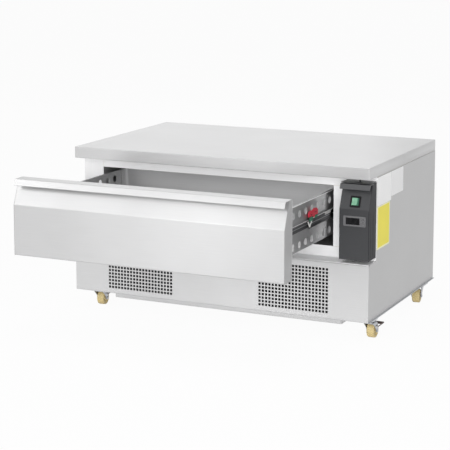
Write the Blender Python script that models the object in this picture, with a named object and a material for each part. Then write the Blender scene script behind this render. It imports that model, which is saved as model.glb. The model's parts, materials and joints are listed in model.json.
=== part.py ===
"""Refrigerated chef base: a worktop over one wide insulated drawer, with the machine compartment below it.

Metres, +Z up. Places are given in the cabinet's own frame: x from its left side, y from the worktop's
front face towards the back, z from the floor. The drawer stands open, and the origin is on the floor
under the centre of the whole object as it stands.
"""

import math

import bmesh
import bpy
from mathutils import Matrix, Vector

# Driving dimensions
WIDTH = 1.100
DEPTH = 0.700
HEIGHT = 0.580
WORKTOP_THICKNESS = 0.040
BODY_BOTTOM = 0.066
LEDGE_Z = 0.260
SETBACK = 0.070
DRAWER_OPEN = 0.400
SHEET = 0.0015
GAP = 0.0003

# The drawer's opening in the cabinet's face, and the cold chamber's right wall, front and back behind it
OPENING_X = (0.076, 0.949)
OPENING_Z = (0.297, 0.503)
CHAMBER_RIGHT = 1.040
CHAMBER_FRONT = 0.110
LINER_BACK = 0.652

# The drawer front and the control housing share one profile, with a grip along the top
FRONT_X = (0.003, 0.973)
HOUSING_X = (0.996, 1.0995)
FRONT_Z = 0.272
FRONT_HEIGHT = 0.255
FRONT_DEPTH = 0.0565
CREASE = 0.169
SLOPE_RUN = 0.036
LIP_DROP = 0.021
LIP_LEAN = 0.009

# The drawer's box, which holds gastronorm pans 150 mm deep
DRAWER_WALL_X = (0.0905, 0.9345)
DRAWER_WALL_Z = (0.3305, 0.4815)
DRAWER_WALL_Y = (0.0588, 0.600)
WALL_FLANGE = 0.009
HOLE_RADIUS = 0.0125
HOLE_PITCH = 0.052
HOLE_COUNT = 9
FIRST_HOLE_Y = 0.106
HOLE_ROWS_Z = (0.351, 0.452)

# Telescopic slides, and the point that a slide's release lever turns about
SLIDE_LENGTH = 0.516
SLIDE_Z = 0.407
LEVER_PIVOT = (0.142, 0.437)

# Grilles of the machine compartment
GRILLE_X = (0.133, 0.709)
GRILLE_SIZE = (0.250, 0.152)
GRILLE_Z = 0.085
GRILLE_HOLES = (10, 6)
HOLE_SHARE = 0.6

# Louvres in the back panel: two groups of slots, each group given by its left end
LOUVRE_X = (0.170, 0.560)
LOUVRE_SIZE = (0.300, 0.008)
LOUVRE_Z = 0.100
LOUVRE_PITCH = 0.020
LOUVRE_ROWS = 7

# The tray under the base
BASE_TRAY_X = (0.155, 1.007)
BASE_TRAY_Y = (0.004, 0.560)
BASE_TRAY_BOTTOM = 0.0515
FLOOR_PLATE = 0.002

# The machinery: places of the compressor, the suction line's way up, both fans, the condenser and the inlet
COMPRESSOR_PLACE = (0.800, 0.420)
SUCTION_PLACE = (1.000, 0.380)
SUCTION_HOLE_RADIUS = 0.0075
CONDENSER_FAN = (0.270, 0.100, 0.161)
EVAPORATOR_FAN = (0.996, 0.470, 0.400)
CONDENSER_X = (0.140, 0.400)
CONDENSER_Z = (0.082, 0.240)
INLET_X = (0.960, 1.010)
INLET_Z = (0.100, 0.140)

# Casters: x and y of the swivel, and its turn in degrees. The wheel trails its swivel
WHEEL_RADIUS = 0.025
WHEEL_WIDTH = 0.026
TRAIL = 0.020
FORK_TOP = 0.0572
RACE_RADIUS = 0.018
PLATE_HALF_WIDTH = 0.031
PLATE_HALF_DEPTH = 0.025
PEDAL_HALF_WIDTH = 0.023
PEDAL_REACH = 0.074
CASTERS = {
    "front_left": (0.0650, 0.058, 184.0),
    "front_right": (1.0880, 0.058, 179.0),
    "rear_left": (0.0650, 0.600, -10.0),
    "rear_right": (1.0760, 0.600, 6.0),
}

UNDERSIDE = HEIGHT - WORKTOP_THICKNESS
SKIN = SHEET + GAP


def pedal_overhang():
    """How far the front right brake pedal's outer corner stands out past the cabinet's side."""
    x, _y, turn = CASTERS["front_right"]
    angle = math.radians(turn)
    return x - PEDAL_HALF_WIDTH * math.cos(angle) + PEDAL_REACH * math.sin(angle) - WIDTH


CABINET_ORIGIN = (-(WIDTH + pedal_overhang()) / 2, (DRAWER_OPEN - DEPTH) / 2, 0.0)


def clear_scene():
    for obj in list(bpy.data.objects):
        bpy.data.objects.remove(obj, do_unlink=True)


def material(name, colour, roughness, metallic):
    made = bpy.data.materials.new(name)
    made.use_nodes = True
    shader = made.node_tree.nodes["Principled BSDF"]
    shader.inputs["Base Color"].default_value = (*colour, 1.0)
    shader.inputs["Roughness"].default_value = roughness
    shader.inputs["Metallic"].default_value = metallic
    made.diffuse_color = (*colour, 1.0)
    return made


def empty(name, location, parent=None, tilt_x=0.0, turn_z=0.0):
    made = bpy.data.objects.new(name, None)
    made.location = location
    made.rotation_euler = (math.radians(tilt_x), 0.0, math.radians(turn_z))
    made.parent = parent
    bpy.context.scene.collection.objects.link(made)
    return made


def add(name, bm, finish, parent, origin=None, smooth=None):
    """Makes an object of a mesh given in its parent's frame. Its origin is the mesh's centre or a point."""
    bmesh.ops.recalc_face_normals(bm, faces=bm.faces)
    if origin is None:
        places = [vertex.co for vertex in bm.verts]
        low = Vector([min(place[axis] for place in places) for axis in range(3)])
        high = Vector([max(place[axis] for place in places) for axis in range(3)])
        origin = (low + high) / 2
    bmesh.ops.translate(bm, verts=bm.verts, vec=-Vector(origin))
    mesh = bpy.data.meshes.new(name)
    bm.to_mesh(mesh)
    bm.free()
    made = bpy.data.objects.new(name, mesh)
    made.location = origin
    made.parent = parent
    if finish is not None:
        mesh.materials.append(finish)
    if smooth is not None:
        mesh.shade_smooth()
        mesh.set_sharp_from_angle(angle=math.radians(smooth))
    bpy.context.scene.collection.objects.link(made)
    return made


def box_into(bm, x, y, z):
    """Adds a closed box between two x, two y and two z values."""
    size = [pair[1] - pair[0] for pair in (x, y, z)]
    centre = [(pair[0] + pair[1]) / 2 for pair in (x, y, z)]
    bmesh.ops.create_cube(bm, size=1.0, matrix=Matrix.Translation(centre) @ Matrix.Diagonal((*size, 1.0)))


def widened(pair, by):
    return (pair[0] - by, pair[1] + by)


def boxes(places):
    bm = bmesh.new()
    for x, y, z in places:
        box_into(bm, x, y, z)
    return bm


def block(name, x, y, z, finish, parent, bevel=0.0):
    made = add(name, boxes([(x, y, z)]), finish, parent)
    if bevel:
        rounding = made.modifiers.new("rounding", "BEVEL")
        rounding.width = bevel
        rounding.segments = 2
    return made


def prism(outline, axis, start, end):
    """Extrudes a closed outline along one axis: its two coordinates are the other two axes, in order."""
    bm = bmesh.new()
    rings = []
    for along in (start, end):
        ring = []
        for first, second in outline:
            place = [first, second]
            place.insert(axis, along)
            ring.append(bm.verts.new(place))
        rings.append(ring)
    bm.faces.new(rings[0])
    bm.faces.new(rings[1][::-1])
    for index in range(len(outline)):
        after = (index + 1) % len(outline)
        bm.faces.new((rings[0][index], rings[0][after], rings[1][after], rings[1][index]))
    return bm


def turned(profile, axis, centre, steps, phase=0.0):
    """Turns a profile of (radius, along) points about an axis. A radius of 0 closes it in a point."""
    bm = bmesh.new()
    others = [index for index in range(3) if index != axis]
    rings = []
    for radius, along in profile:
        ring = []
        for step in range(steps if radius > 0 else 1):
            angle = phase + 2 * math.pi * step / steps
            place = list(centre)
            place[axis] += along
            place[others[0]] += radius * math.cos(angle)
            place[others[1]] += radius * math.sin(angle)
            ring.append(bm.verts.new(place))
        rings.append(ring)
    closed = profile[0][0] > 0
    pairs = list(zip(rings, rings[1:] + rings[:1]))
    for lower, upper in pairs if closed else pairs[:-1]:
        for step in range(steps):
            after = (step + 1) % steps
            corners = [lower[step % len(lower)], lower[after % len(lower)]]
            corners += [upper[after % len(upper)], upper[step % len(upper)]]
            corners = list(dict.fromkeys(corners))
            if len(corners) > 2:
                bm.faces.new(corners)
    return bm


def cylinder(axis, centre, radius, start, end, steps, phase=0.0):
    return turned([(0, start), (radius, start), (radius, end), (0, end)], axis, centre, steps, phase)


def joined(*parts):
    """Puts several meshes into one, for a cutter of separate bodies."""
    bm = bmesh.new()
    for part in parts:
        mesh = bpy.data.meshes.new("loose")
        part.to_mesh(mesh)
        part.free()
        bm.from_mesh(mesh)
        bpy.data.meshes.remove(mesh)
    return bm


def apply_tool(target, bm, operation, parent=None):
    """Cuts a helper mesh from the target, or unites it with it. The helper isn't rendered."""
    parent = parent or target.parent
    tool = add(f"tool_{target.name}_{len(target.modifiers)}", bm, None, parent, origin=(0, 0, 0))
    tool.hide_render = True
    tool.display_type = "WIRE"
    step = target.modifiers.new(operation.lower(), "BOOLEAN")
    step.operation = operation
    step.object = tool
    return tool


def cut(target, bm, parent=None):
    return apply_tool(target, bm, "DIFFERENCE", parent)


def unite(target, bm, parent=None):
    return apply_tool(target, bm, "UNION", parent)


def pipe(points, radius, sides=10, steps=5):
    """A round pipe swept along a smooth curve through its route's points, closed at both ends."""
    places = [Vector(point) for point in points]
    padded = [2 * places[0] - places[1], *places, 2 * places[-1] - places[-2]]
    route = []
    for a, b, c, d in zip(padded, padded[1:], padded[2:], padded[3:]):
        for step in range(steps):
            t = step / steps
            bend = (2 * a - 5 * b + 4 * c - d) * t * t + (3 * b - a - 3 * c + d) * t**3
            route.append((2 * b + (c - a) * t + bend) / 2)
    route.append(places[-1])
    bm = bmesh.new()
    ahead = (route[1] - route[0]).normalized()
    side = ahead.orthogonal().normalized()
    rings = []
    for index, place in enumerate(route):
        before, after = route[max(index - 1, 0)], route[min(index + 1, len(route) - 1)]
        turned_to = (after - before).normalized()
        side = (ahead.rotation_difference(turned_to) @ side).normalized()
        ahead = turned_to
        up = ahead.cross(side)
        ring = []
        for step in range(sides):
            angle = 2 * math.pi * step / sides
            ring.append(bm.verts.new(place + radius * (math.cos(angle) * side + math.sin(angle) * up)))
        rings.append(ring)
    bm.faces.new(rings[0])
    bm.faces.new(rings[-1][::-1])
    for lower, upper in zip(rings, rings[1:]):
        for step in range(sides):
            after = (step + 1) % sides
            bm.faces.new((lower[step], lower[after], upper[after], upper[step]))
    return bm


def slope_y(height):
    """How far back the sloping face is at a height above the front's lower edge."""
    return SLOPE_RUN * (height - CREASE) / (FRONT_HEIGHT - CREASE)


def grip_outline(depth, thickness, lip):
    """The profile's closed outline from the lower back corner: face, slope, the lip hooked forwards, top."""
    under_top = FRONT_HEIGHT - thickness
    lip_foot = FRONT_HEIGHT - LIP_DROP
    return [
        (depth, 0.0),
        (0.0, 0.0),
        (0.0, CREASE),
        (slope_y(under_top), under_top),
        (LIP_LEAN + lip * 1.2, under_top),
        (lip * 1.1, lip_foot),
        (0.0, lip_foot),
        (LIP_LEAN, FRONT_HEIGHT),
        (depth, FRONT_HEIGHT),
    ]


def lifted(outline, height):
    return [(y, z + height) for y, z in outline]


def make_shell(cabinet, steel, inner_steel, foam):
    """Worktop, outer skins, the insulated body and its liner, and the frame round the drawer's opening."""
    under = UNDERSIDE - GAP
    back = DEPTH - SKIN
    face = SETBACK + SKIN
    inside = (SKIN, WIDTH - SKIN)

    def worktop_filling(play):
        """The folded worktop's hollow: all of it over the body, a step thinner over the front overhang."""
        outline = [
            (face - play, UNDERSIDE - 0.01),
            (back + play, UNDERSIDE - 0.01),
            (back + play, HEIGHT - SKIN + play),
            (SKIN - play, HEIGHT - SKIN + play),
            (SKIN - play, UNDERSIDE + SKIN - play),
            (face - play, UNDERSIDE + SKIN - play),
        ]
        return prism(outline, 0, inside[0] - play, inside[1] + play)

    worktop = block("worktop", (0, WIDTH), (0, DEPTH), (UNDERSIDE, HEIGHT), steel, cabinet, bevel=0.0010)
    cut(worktop, worktop_filling(GAP))
    side = [
        (SKIN, BODY_BOTTOM),
        (back, BODY_BOTTOM),
        (back, under),
        (face, under),
        (face, LEDGE_Z),
        (SKIN, LEDGE_Z),
    ]
    add("side_panel_left", prism(side, 0, 0.0, SHEET), steel, cabinet)
    add("side_panel_right", prism(side, 0, WIDTH - SHEET, WIDTH), steel, cabinet)

    back_panel = block("back_panel", (0, WIDTH), (DEPTH - SHEET, DEPTH), (BODY_BOTTOM, under), steel, cabinet)
    through = (DEPTH - 0.02, DEPTH + 0.02)
    slots = []
    for left in LOUVRE_X:
        for row in range(LOUVRE_ROWS):
            low = LOUVRE_Z + LOUVRE_PITCH * row
            slots.append(((left, left + LOUVRE_SIZE[0]), through, (low, low + LOUVRE_SIZE[1])))
    slots.append((widened(INLET_X, GAP), through, widened(INLET_Z, GAP)))
    cut(back_panel, boxes(slots))

    body = block("insulated_body", inside, (face, back), (LEDGE_Z + GAP, under), foam, cabinet)
    unite(body, worktop_filling(0.0))

    def cavity(grow, front):
        """The drawer's bay with the evaporator's chamber at its right, made larger all round."""
        plan = [
            (OPENING_X[0] - grow, front),
            (OPENING_X[1] + grow, front),
            (OPENING_X[1] + grow, CHAMBER_FRONT - grow),
            (CHAMBER_RIGHT + grow, CHAMBER_FRONT - grow),
            (CHAMBER_RIGHT + grow, LINER_BACK + grow),
            (OPENING_X[0] - grow, LINER_BACK + grow),
        ]
        return prism(plan, 2, OPENING_Z[0] - grow, OPENING_Z[1] + grow)

    before_face = SETBACK - 0.02
    cut(body, cavity(SKIN, before_face))
    liner = add("cavity_liner", cavity(SHEET, face), inner_steel, cabinet)
    cut(liner, cavity(0.0, before_face))
    deck = block("compartment_deck", inside, (0.0, back), (LEDGE_Z - SHEET, LEDGE_Z), steel, cabinet)
    for crossed in (liner, body, deck):
        low, high = LEDGE_Z - 0.01, OPENING_Z[0] + 0.008
        cut(crossed, cylinder(2, (*SUCTION_PLACE, 0.0), SUCTION_HOLE_RADIUS, low, high, 12))

    depth = (SETBACK, SETBACK + SHEET)
    low = LEDGE_Z + GAP
    joint = 0.0006
    left_edge, right_edge = OPENING_X
    block("front_post_left", (0.0, left_edge), depth, (low, under), steel, cabinet)
    rail_left = left_edge + joint
    block("front_rail_top", (rail_left, WIDTH), depth, (OPENING_Z[1], under), steel, cabinet)
    block("front_rail_bottom", (rail_left, WIDTH), depth, (low, OPENING_Z[0]), steel, cabinet)
    post_height = (OPENING_Z[0] + joint, OPENING_Z[1] - joint)
    block("front_post_right", (right_edge, WIDTH), depth, post_height, steel, cabinet)


def make_base(cabinet, steel, zinc):
    """The perforated front of the machine compartment, its floor with the caster plates, the tray below."""
    panel = block("lower_front_panel", (0, WIDTH), (0, SHEET), (BODY_BOTTOM, LEDGE_Z - SKIN), steel, cabinet)
    holes = []
    columns, rows = GRILLE_HOLES
    pitch_x, pitch_z = GRILLE_SIZE[0] / columns, GRILLE_SIZE[1] / rows
    for left in GRILLE_X:
        for column in range(columns):
            for row in range(rows):
                x = left + pitch_x * column
                z = GRILLE_Z + pitch_z * row
                holes.append(((x, x + HOLE_SHARE * pitch_x), (-0.01, 0.01), (z, z + HOLE_SHARE * pitch_z)))
    cut(panel, boxes(holes))

    back = DEPTH - SKIN
    floor_top = BODY_BOTTOM + FLOOR_PLATE
    frame = block("base_frame", (SKIN, WIDTH - SKIN), (SKIN, back), (BODY_BOTTOM, floor_top), zinc, cabinet)
    race = [(0, -0.008), (RACE_RADIUS - 0.003, -0.008), (RACE_RADIUS, -0.003), (RACE_RADIUS, 0.0), (0, 0.0)]
    for x, y, _turn in CASTERS.values():
        middle = min(x, WIDTH - SKIN - PLATE_HALF_WIDTH)
        plate_x = (middle - PLATE_HALF_WIDTH, middle + PLATE_HALF_WIDTH)
        plate_y = (y - PLATE_HALF_DEPTH, y + PLATE_HALF_DEPTH)
        unite(frame, boxes([(plate_x, plate_y, (BODY_BOTTOM - 0.003, BODY_BOTTOM + 0.001))]))
        unite(frame, turned(race, 2, (x, y, BODY_BOTTOM - 0.0005), 16))

    tray_z = (BASE_TRAY_BOTTOM, BODY_BOTTOM - GAP)
    tray = block("base_tray", BASE_TRAY_X, BASE_TRAY_Y, tray_z, steel, cabinet)
    hollow_z = (tray_z[0] + SHEET, tray_z[1] + 0.01)
    cut(tray, boxes([(widened(BASE_TRAY_X, -SHEET), widened(BASE_TRAY_Y, -SHEET), hollow_z)]))


def fin_block(fins, along, across, core, height):
    """An upright coil, like a comb on both sides of a core: fins along x, with gaps between them."""
    pitch = (along[1] - along[0]) / fins
    front, back = [], []
    for index in range(fins):
        left = along[0] + pitch * index
        right = left + pitch * 0.55
        after = left + pitch
        front += [(left, across[0]), (right, across[0]), (right, core[0]), (after, core[0])]
        back += [(left, across[1]), (right, across[1]), (right, core[1]), (after, core[1])]
    outline = front[:-2] + back[:-2][::-1]
    return prism(outline, 2, *height)


def fan_blades(centre, inner, outer, span, count, pitch):
    """Separate pitched blades round an axis along y: each is a thin plate from the hub to its tip."""
    root_half, tip_half, half_thickness = 0.006, 0.017, 0.0008
    bm = bmesh.new()
    for index in range(count):
        angle = 2 * math.pi * index / count
        corners = []
        for radius, half in ((inner, root_half), (outer, tip_half)):
            for side in (-1, 1):
                for face in (-1, 1):
                    around = side * half * math.cos(pitch) - face * half_thickness * math.sin(pitch)
                    along = side * half * math.sin(pitch) + face * half_thickness * math.cos(pitch)
                    along = max(-span / 2, min(span / 2, along))
                    x = radius * math.cos(angle) - around * math.sin(angle)
                    z = radius * math.sin(angle) + around * math.cos(angle)
                    corners.append(bm.verts.new(Vector(centre) + Vector((x, along, z))))
        for face in ((0, 1, 3, 2), (4, 6, 7, 5), (0, 4, 5, 1), (2, 3, 7, 6), (0, 2, 6, 4), (1, 5, 7, 3)):
            bm.faces.new([corners[corner] for corner in face])
    return bm


def fan_rotor(name, centre, hub, tip, width, finish, parent):
    """A hub with a bore for the motor's shaft along y, and five blades."""
    half, bore = width / 2, 0.0033
    profile = [(bore, -half), (hub, -half), (hub, half), (bore, half)]
    rotor = add(name, turned(profile, 1, centre, 16), finish, parent, origin=centre, smooth=40)
    unite(rotor, fan_blades(centre, hub - 0.002, tip, width - 0.002, 5, math.radians(28)))


def make_machinery(cabinet, parts):
    """Compressor, condenser and its fan, pipes, pan and electrical box, and the evaporator in its chamber."""
    black, copper, fins, plastic, zinc, steel = parts
    floor = BODY_BOTTOM + FLOOR_PLATE + GAP

    pot = [(0, 0), (0.082, 0), (0.082, 0.004), (0.058, 0.006), (0.058, 0.014), (0.066, 0.022), (0.070, 0.050)]
    pot += [(0.070, 0.110), (0.064, 0.132), (0.045, 0.148), (0.020, 0.154), (0, 0.155)]
    x, y = COMPRESSOR_PLACE
    pot_top = floor + 0.155
    compressor = add("compressor", turned(pot, 2, (x, y, floor), 24), black, cabinet, smooth=40)
    terminal_box = ((x - 0.025, x + 0.025), (y - 0.092, y - 0.060), (floor + 0.050, floor + 0.100))
    unite(compressor, boxes([terminal_box]))

    comb = fin_block(16, CONDENSER_X, (0.030, 0.076), (0.042, 0.064), CONDENSER_Z)
    condenser = add("condenser_coil", comb, fins, cabinet)
    route = [(0.390, 0.053, 0.200), (0.410, 0.053, 0.200), (0.440, 0.055, 0.205), (0.500, 0.080, 0.236)]
    route += [(0.600, 0.200, 0.246), (0.770, 0.390, 0.247), (0.798, 0.418, 0.240), (x, y, pot_top + 0.0004)]
    unite(condenser, pipe(route, 0.004))
    make_fan_mount(cabinet, zinc)
    fan_rotor("condenser_fan_blade", CONDENSER_FAN, 0.018, 0.062, 0.016, plastic, cabinet)

    pan_x, pan_y, pan_z = (0.540, 0.690), (0.300, 0.520), (floor, floor + 0.035)
    pan_wall = 0.002
    pan = block("condensate_pan", pan_x, pan_y, pan_z, plastic, cabinet)
    hollow_z = (pan_z[0] + pan_wall, pan_z[1] + 0.01)
    cut(pan, boxes([(widened(pan_x, -pan_wall), widened(pan_y, -pan_wall), hollow_z)]))

    block("electrical_box", (0.930, 1.060), (0.090, 0.250), (floor, floor + 0.080), plastic, cabinet, 0.003)
    inlet = block("power_inlet", INLET_X, (DEPTH - 0.028, DEPTH - 0.0002), INLET_Z, black, cabinet)
    cut(inlet, boxes([(widened(INLET_X, -0.005), (DEPTH - 0.018, DEPTH + 0.01), widened(INLET_Z, -0.006))]))

    x, y = SUCTION_PLACE
    route = [(x, y, 0.3096), (x, y, 0.290), (x, y, 0.250), (x, y, 0.170)]
    route += [(0.985, 0.402, 0.145), (0.950, 0.418, 0.141), (0.900, 0.420, 0.141), (0.8705, 0.420, 0.141)]
    add("suction_line", pipe(route, 0.006), copper, cabinet, smooth=40)
    make_evaporator(cabinet, fins, plastic, zinc, steel)


def make_fan_mount(cabinet, zinc):
    """The plate beside the condenser with its round opening, and the motor on a cross bar behind it."""
    x, _y, z = CONDENSER_FAN
    mount = block("condenser_fan_mount", CONDENSER_X, (0.080, 0.082), CONDENSER_Z, zinc, cabinet)
    cut(mount, cylinder(1, (x, 0.0, z), 0.070, 0.07, 0.09, 24))
    posts = []
    for side in (-1, 1):
        middle = x + side * 0.078
        posts.append(((middle - 0.004, middle + 0.004), (0.081, 0.120), (z - 0.005, z + 0.005)))
    unite(mount, boxes(posts))
    unite(mount, boxes([((x - 0.080, x + 0.080), (0.116, 0.119), (z - 0.004, z + 0.004))]))
    unite(mount, cylinder(1, (x, 0.0, z), 0.024, 0.113, 0.146, 16))
    unite(mount, cylinder(1, (x, 0.0, z), 0.003, 0.094, 0.115, 10))


def make_evaporator(cabinet, fins, plastic, zinc, steel):
    """The evaporator in its chamber, its fan in a wall behind it, and the slotted cover beside the drawer."""
    coil = fin_block(14, (0.150, 0.400), (0.9580, 1.0340), (0.978, 1.014), (0.310, 0.490))
    for vertex in coil.verts:
        vertex.co = (vertex.co.y, vertex.co.x, vertex.co.z)
    add("evaporator_coil", coil, fins, cabinet)

    x, _y, z = EVAPORATOR_FAN
    wall = block("evaporator_fan_mount", (0.9520, 1.0390), (0.484, 0.486), (0.299, 0.501), zinc, cabinet)
    cut(wall, cylinder(1, (x, 0.0, z), 0.036, 0.47, 0.50, 20))
    unite(wall, boxes([((x - 0.040, x + 0.040), (0.485, 0.489), (z - 0.004, z + 0.004))]))
    unite(wall, cylinder(1, (x, 0.0, z), 0.017, 0.4865, 0.512, 14))
    unite(wall, cylinder(1, (x, 0.0, z), 0.003, 0.465, 0.488, 10))
    fan_rotor("evaporator_fan_blade", EVAPORATOR_FAN, 0.012, 0.034, 0.014, plastic, cabinet)

    cover_x = (OPENING_X[1], OPENING_X[1] + SHEET)
    cover_y = (CHAMBER_FRONT + GAP, LINER_BACK - GAP)
    cover = block("evaporator_cover", cover_x, cover_y, widened(OPENING_Z, -2 * GAP), steel, cabinet)
    slots = []
    for start in (0.150, 0.540):
        for column in range(4):
            y = start + 0.024 * column
            for heights in ((0.310, 0.370), (0.440, 0.490)):
                slots.append((widened(cover_x, 0.009), (y, y + 0.010), heights))
    cut(cover, boxes(slots))


def make_controls(cabinet, charcoal, black, green, grey):
    """The control housing with its hood, the lit rocker on the slope and the thermostat below it."""
    left, right = HOUSING_X
    wall, top_wall = 0.003, 0.004
    outline = lifted(grip_outline(SETBACK - GAP, top_wall, wall), FRONT_Z)
    housing = add("control_housing", prism(outline, 0, left, right), charcoal, cabinet)
    top = FRONT_HEIGHT - top_wall
    hollow = [(0.1, wall), (wall, wall), (wall, CREASE), (slope_y(top) + wall, top), (0.1, top)]
    cut(housing, prism(lifted(hollow, FRONT_Z), 0, left + wall, right - wall))

    make_rocker(cabinet, housing, black, green)
    make_thermostat(cabinet, housing, black, grey)


def make_rocker(cabinet, housing, black, green):
    """The rocker in its bezel on the housing's slope. It tips about an axis just behind its face."""
    tilt = math.degrees(math.atan2(SLOPE_RUN, FRONT_HEIGHT - CREASE))
    height = CREASE + 0.024
    seat = empty("rocker_seat", (1.048, slope_y(height), FRONT_Z + height), cabinet, tilt_x=-tilt)
    well_x, well_z = (-0.0150, 0.0150), (-0.0160, 0.0160)
    cut(housing, boxes([(widened(well_x, GAP), (-0.02, 0.02), widened(well_z, GAP))]), seat)
    frame = block("rocker_bezel", (-0.018, 0.018), (-0.0022, -GAP), (-0.0190, 0.0190), black, seat)
    unite(frame, boxes([(well_x, (-0.001, 0.014), well_z)]))
    cut(frame, boxes([((-0.0122, 0.0122), (-0.02, 0.011), (-0.0145, 0.0145))]))
    rocker_tip = [(-0.0055, -0.0128), (-0.0025, 0.0), (-0.0035, 0.0128), (0.0045, 0.0112), (0.0065, 0.0)]
    rocker_tip += [(0.0045, -0.0112)]
    axis = (0.0, 0.0035, 0.0)
    add("rocker_switch", prism(rocker_tip, 0, -0.0115, 0.0115), green, seat, origin=axis)


def make_thermostat(cabinet, housing, black, grey):
    """The thermostat: a bezel on a box through the housing, a sunk display, and two buttons in pockets."""
    bezel_x, bezel_z = (1.010, 1.088), (0.385, 0.419)
    body_x, body_z = widened(bezel_x, -0.0035), widened(bezel_z, -0.0035)
    cut(housing, boxes([(widened(body_x, 0.0005), (-0.02, 0.02), widened(body_z, 0.0005))]))
    body = block("thermostat_body", bezel_x, (-0.0018, -GAP), bezel_z, grey, cabinet)
    unite(body, boxes([(body_x, (-0.001, 0.045), body_z)]))
    display_x, display_z = (1.0190, 1.0670), (0.3905, 0.4135)
    cut(body, boxes([(display_x, (-0.01, 0.0015), display_z)]))
    glass_x, glass_z = widened(display_x, -GAP), widened(display_z, -GAP)
    block("thermostat_display", glass_x, (-0.0010, 0.0012), glass_z, black, cabinet)
    button_x, button_half = (1.0729, 1.0811), 0.0034
    for number, centre in enumerate((0.4080, 0.3960), 1):
        button_z = (centre - button_half, centre + button_half)
        pocket = (widened(button_x, 0.0004), (-0.01, 0.0040), widened(button_z, 0.0004))
        cut(body, boxes([pocket]))
        block(f"thermostat_button_{number}", button_x, (-0.0030, 0.0022), button_z, grey, cabinet)


def make_drawer(drawer, steel, inner_steel, foam, seal):
    """The drawer's hooked front with its core and end caps, the gasket, and the perforated box."""
    left, right = FRONT_X
    outer = grip_outline(FRONT_DEPTH, SHEET, SHEET)
    inner_top = FRONT_HEIGHT - SHEET
    inner = [
        (FRONT_DEPTH, inner_top),
        (slope_y(inner_top) + 1.15 * SHEET, inner_top),
        (SHEET, CREASE - 0.0003),
        (SHEET, SHEET),
        (FRONT_DEPTH, SHEET),
    ]
    skin = prism(lifted(outer + inner, FRONT_Z), 0, left + SKIN, right - SKIN)
    add("drawer_front", skin, steel, drawer)

    inset = SKIN + GAP
    top = FRONT_HEIGHT - SKIN
    back = FRONT_DEPTH - GAP
    core = [(back, SKIN), (SKIN, SKIN), (SKIN, CREASE - 0.0008)]
    core += [(slope_y(top) + 1.5 * SKIN, top), (back, top)]
    add("drawer_front_core", prism(lifted(core, FRONT_Z), 0, left + inset, right - inset), foam, drawer)

    cap = [(0, 0), (0, CREASE), (SLOPE_RUN, FRONT_HEIGHT), (FRONT_DEPTH, FRONT_HEIGHT), (FRONT_DEPTH, 0)]
    add("drawer_end_cap_left", prism(lifted(cap, FRONT_Z), 0, left, left + SHEET), steel, drawer)
    add("drawer_end_cap_right", prism(lifted(cap, FRONT_Z), 0, right - SHEET, right), steel, drawer)

    plate_y = (FRONT_DEPTH + GAP, FRONT_DEPTH + GAP + 0.0012)
    plate_z = (FRONT_Z, FRONT_Z + FRONT_HEIGHT)
    block("drawer_inner_panel", FRONT_X, plate_y, plate_z, inner_steel, drawer)

    seal_y = (plate_y[1] + GAP, SETBACK - 2 * GAP)
    gasket = block("drawer_gasket", (0.060, 0.965), seal_y, (0.281, 0.519), seal, drawer)
    cut(gasket, boxes([((0.080, 0.945), (0.0, 0.2), (0.301, 0.499))]))

    (x0, x1), (z0, z1) = DRAWER_WALL_X, DRAWER_WALL_Z
    wall = [
        (x0, z0),
        (x0 + WALL_FLANGE, z0),
        (x0 + WALL_FLANGE, z0 + SHEET),
        (x0 + SHEET, z0 + SHEET),
        (x0 + SHEET, z1 - SHEET),
        (x0 + WALL_FLANGE, z1 - SHEET),
        (x0 + WALL_FLANGE, z1),
        (x0, z1),
    ]
    mirrored = [(x0 + x1 - x, z) for x, z in wall]
    for name, outline in (("drawer_side_left", wall), ("drawer_side_right", mirrored)):
        side = add(name, prism(outline, 1, *DRAWER_WALL_Y), inner_steel, drawer)
        at = x0 if outline is wall else x1
        holes = []
        for z in HOLE_ROWS_Z:
            for index in range(HOLE_COUNT):
                y = FIRST_HOLE_Y + HOLE_PITCH * index
                holes.append(cylinder(0, (at, y, z), HOLE_RADIUS, -0.004, 0.004, 12))
        cut(side, joined(*holes))

    start, stop = DRAWER_WALL_Y
    floor_low = z0 + SKIN
    folded = [
        (start, floor_low),
        (stop + SKIN, floor_low),
        (stop + SKIN, z1),
        (stop + GAP, z1),
        (stop + GAP, floor_low + SHEET),
        (start, floor_low + SHEET),
    ]
    add("drawer_tray", prism(folded, 0, x0 + SKIN, x1 - SKIN), inner_steel, drawer)


def channel(x_web, x_lips, half_height, thickness=0.0012):
    """A C-section as an x, z outline: an upright web, with a lip at its top and one at its foot."""
    low, high = SLIDE_Z - half_height, SLIDE_Z + half_height
    inner = x_web + math.copysign(thickness, x_lips - x_web)
    return [
        (x_web, low),
        (x_web, high),
        (x_lips, high),
        (x_lips, high - thickness),
        (inner, high - thickness),
        (inner, low + thickness),
        (x_lips, low + thickness),
        (x_lips, low),
    ]


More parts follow.
